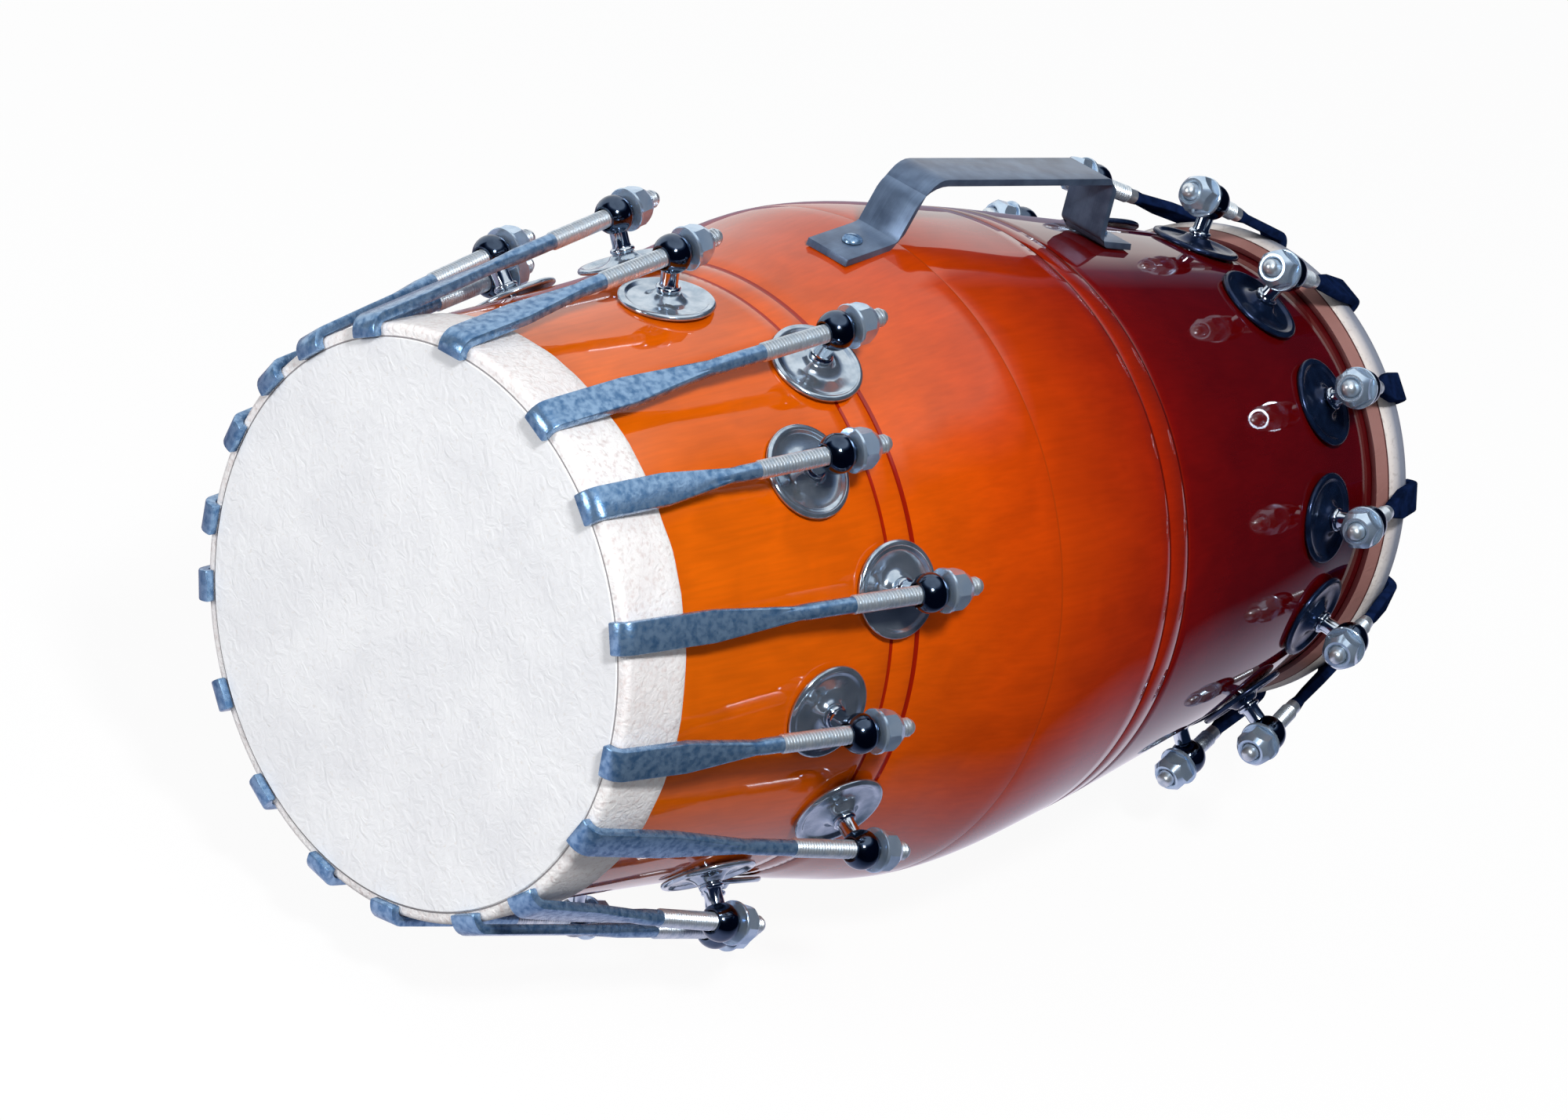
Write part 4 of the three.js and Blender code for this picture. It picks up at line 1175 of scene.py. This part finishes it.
def screw_master():
    """A round-headed screw with one slot, on a plain pointed shank."""
    start = HANDLE_THICKNESS + 2 * FIT_GAP
    outline = [(0, -SCREW_LENGTH), (SCREW_RADIUS, SCREW_RADIUS - SCREW_LENGTH)]
    outline += [(SCREW_RADIUS, start), (SCREW_HEAD_RADIUS, start)]
    for sine, cosine in arc(math.pi / 2, SCREW_HEAD_STEPS)[1:-1]:
        outline.append((SCREW_HEAD_RADIUS * cosine, start + SCREW_HEAD_HEIGHT * sine))
    outline.append((0, start + SCREW_HEAD_HEIGHT))
    screw = turned("screw_master", outline, ROD_SIDES)
    slot_cutter = new_piece("screw_slot", bpy.ops.mesh.primitive_cube_add, size=1)
    size = Matrix.Diagonal((SCREW_SLOT_WIDTH, 3 * SCREW_HEAD_RADIUS, SCREW_HEAD_HEIGHT, 1))
    put(slot_cutter, Matrix.Translation((0, 0, start + SCREW_HEAD_HEIGHT)) @ size)
    cut(screw, slot_cutter)
    return smoothed(painted(screw, STEELS["forged_hook_steel"]), SHARP_FOLD)


def fit_screws():
    master = screw_master()
    for name, foot, turn in zip(("front", "rear"), HANDLE_FEET, SCREW_TURNS):
        there = foot_frame(*foot) @ Matrix.Rotation(math.radians(turn), 4, "Z")
        piece = copy_of(master, f"{name}_foot_screw", there)
        dressed(piece, "plated_steel", f"handle_{name}_screw")
    bpy.data.objects.remove(master)


# The drum.

dressed(barrel(), "varnished_wood", "shell")
dressed(bass_head(), "rawhide", "bass_skin")
dressed(treble_head(), "rawhide", "treble_skin")
dressed(handle(), "handle_steel", "handle")
fit_screws()
fit_tuners()
for node in ("bass_hoop", "treble_hoop"):
    painted(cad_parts[node], STEELS["drawn_hoop_steel"])
painted(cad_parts["bass_masala"], PASTE)


# The studio. A dark flag stands round it, but for a window that the lacquer mirrors, and a mat lies on the
# floor: both glow, and only metal and lacquer see them, as glowing reflections that give them contrast on
# a white ground.

MIDDLE = Vector((0.25, 0, 0))
WORLD_COLOUR = "#f4f6fa"
WORLD_STRENGTH = 0.38
FLOOR_GAP = 0.5 * MM
FLOOR_Z = CAD_BOX[0][2] - FLOOR_GAP
FLOOR_SIZE = 60
FLOOR_GREY = 0.18
FLOOR_GLOW_SHARE = 0.94
FLAG_RADIUS = 3.2
FLAG_HEIGHT = 4.8
FLAG_SIDES = 72
FLAG_DEGREES = (110, 391)
FLAG_SIDE_FADE = (0.45, 0.78)
FLAG_STOPS = [(0.0, "#101a2e"), (0.6, "#141f36"), (0.8, "#5d6f8a"), (1.0, "#ffffff")]
MAT_LIFT = 0.2 * MM
MAT_BACK = 1.6
MAT_FADE = (-0.27, 0.5)
MAT_STOPS = [(0.0, "#101a2e"), (0.09, "#6d748c"), (0.2, "#c3c1d8"), (0.31, "#efeaf8")]
MAT_STOPS += [(0.42, "#efeaf8"), (0.7, "#a5a0b2"), (1.0, "#958fa3")]

# The lamps: place, width of the square and power in watts.
LAMPS = {
    "key_light": ((-1.0, -1.7, 1.95), 0.35, 65),
    "fill_light": ((-2.2, 0.6, 0.7), 0.9, 25),
}

# The camera, with its lens and sensor in millimetres.
CAMERA_PLACE = Vector((-1.60296, -1.46042, 0.99604))
CAMERA_AIM = Vector((0.18939, -0.02332, 0.01004))
CAMERA_ROLL_DEGREES = 14.31
CAMERA_LENS = 138.82
CAMERA_SENSOR = 36


def seen_as_white(add):
    """1 where the camera, metal or glass looks at it, and 0 where it only lights the drum."""
    seen = add("ShaderNodeLightPath", output="Is Camera Ray")
    for kind in ("Glossy", "Transmission"):
        ray = add("ShaderNodeLightPath", output=f"Is {kind} Ray")
        seen = add(MATHS, {"operation": "MAXIMUM"}, {0: seen, 1: ray})
    return seen


def studio_world():
    world = bpy.data.worlds.new("studio_world")
    bpy.context.scene.world = world
    world.use_nodes = True
    add = partial(add_node, world.node_tree)
    light = {"Color": linear(WORLD_COLOUR), "Strength": WORLD_STRENGTH}
    soft = add("ShaderNodeBackground", light)
    white = add("ShaderNodeBackground", {"Color": grey(1), "Strength": 1.0})
    mix = add("ShaderNodeMixShader", {}, {0: seen_as_white(add), 1: soft, 2: white})
    linked(world, {"Surface": mix}, "World Output")


def studio_floor():
    """A white floor that keeps the drum's shadow, and lights the drum no more than a grey one would."""
    floor = new_piece("studio_floor", bpy.ops.mesh.primitive_plane_add, size=FLOOR_SIZE)
    put(floor, Matrix.Translation((MIDDLE.x, 0, FLOOR_Z)))
    material, add = new_material("pale_floor", Roughness=0.9)
    seen = seen_as_white(add)
    tone = add(MIX, {**BLEND, 6: grey(FLOOR_GREY), 7: grey(1)}, {0: seen})
    linked(material, {"Base Color": tone})
    white = add("ShaderNodeEmission", {"Color": grey(1), "Strength": 1.0})
    share = add(MATHS, {"operation": "MULTIPLY", 1: FLOOR_GLOW_SHARE}, {0: seen})
    principled = material.node_tree.nodes["Principled BSDF"].outputs["BSDF"]
    mix = add("ShaderNodeMixShader", {}, {0: share, 1: principled, 2: white})
    painted(floor, linked(material, {"Surface": mix}, "Material Output"))


def only_reflected(card, name, shades, share_of):
    """Gives a card of the studio its shades, and keeps it out of everything but reflections."""
    material, add = new_material(name)
    place = add(PLACE, output="Object")
    shade = add(RAMP, stops(shades), {"Fac": share_of(add, place)})
    glow = add("ShaderNodeEmission", {"Strength": 1.0}, {"Color": shade})
    painted(card, linked(material, {"Surface": glow}, "Material Output"))
    for ray in ("camera", "diffuse", "transmission", "volume_scatter", "shadow"):
        setattr(card, f"visible_{ray}", False)


def flag_share(add, place):
    """Grows towards the flag's top and towards the window."""
    height = add(SPLIT, links={"Vector": place}, output="Z")
    up = {"From Min": FLOOR_Z, "From Max": FLOOR_Z + FLAG_HEIGHT}
    rise = add(FADE, up, {"Value": height})
    window = math.radians(sum(FLAG_DEGREES) / 2 - 180)
    to_window = (math.cos(window) / FLAG_RADIUS, math.sin(window) / FLAG_RADIUS, 0)
    dot = {"operation": "DOT_PRODUCT", 1: to_window}
    nearness = add(VECTORS, dot, {0: place}, output="Value")
    beside = {"From Min": FLAG_SIDE_FADE[0], "From Max": FLAG_SIDE_FADE[1]}
    side = add(FADE, beside, {"Value": nearness})
    return add(MATHS, {"operation": "MAXIMUM"}, {0: rise, 1: side})


def studio_flag():
    """A curved flag, dark navy and light at its top and sides."""
    sizes = {"vertices": FLAG_SIDES, "radius": FLAG_RADIUS, "depth": FLAG_HEIGHT}
    cylinder = bpy.ops.mesh.primitive_cylinder_add
    flag = new_piece("studio_flag", cylinder, end_fill_type="NOTHING", **sizes)
    put(flag, Matrix.Translation((MIDDLE.x, 0, FLOOR_Z + FLAG_HEIGHT / 2)))
    edit(flag)
    bpy.ops.mesh.select_mode(type="FACE")
    bpy.ops.mesh.select_all(action="DESELECT")
    done_editing()
    for polygon in flag.data.polygons:
        turn = math.degrees(math.atan2(polygon.center.y, polygon.center.x - MIDDLE.x))
        polygon.select = not any(FLAG_DEGREES[0] < turn + lap < FLAG_DEGREES[1] for lap in (0, 360))
    bpy.ops.object.mode_set(mode="EDIT")
    bpy.ops.mesh.delete(type="FACE")
    done_editing()
    only_reflected(flag, "navy_flag", FLAG_STOPS, flag_share)


def mat_share(add, place):
    """Grows from the front of the mat to its back."""
    across = add(SPLIT, links={"Vector": place}, output="Y")
    return add(FADE, {"From Min": MAT_FADE[0], "From Max": MAT_FADE[1]}, {"Value": across})


def studio_mat():
    """A mat on the floor: navy before the drum, nearly white under its belly and mauve behind it."""
    mat = new_piece("studio_mat", bpy.ops.mesh.primitive_plane_add, size=2 * FLAG_RADIUS)
    put(mat, Matrix.Translation((MIDDLE.x, MAT_BACK - FLAG_RADIUS, FLOOR_Z + MAT_LIFT)))
    only_reflected(mat, "navy_mat", MAT_STOPS, mat_share)


def aimed(name, data, location, aim, roll=0):
    """Adds a lamp or the camera, turned to what it is aimed at and rolled by some degrees."""
    thing = bpy.data.objects.new(name, data)
    bpy.context.scene.collection.objects.link(thing)
    thing.location = location
    look = (aim - Vector(location)).to_track_quat("-Z", "Y").to_matrix()
    thing.rotation_euler = (look @ Matrix.Rotation(math.radians(roll), 3, "Z")).to_euler()
    return thing


def studio_lamps():
    for name, (location, size, power) in LAMPS.items():
        data = bpy.data.lights.new(name, "AREA")
        data.shape = "SQUARE"
        data.size = size
        data.energy = power
        aimed(name, data, location, MIDDLE)


def studio_camera():
    data = bpy.data.cameras.new("camera")
    data.lens = CAMERA_LENS
    data.sensor_width = CAMERA_SENSOR
    camera = aimed("camera", data, CAMERA_PLACE, CAMERA_AIM, CAMERA_ROLL_DEGREES)
    bpy.context.scene.camera = camera


studio_world()
studio_floor()
studio_flag()
studio_mat()
studio_camera()
studio_lamps()
bpy.context.scene.view_settings.view_transform = "Standard"
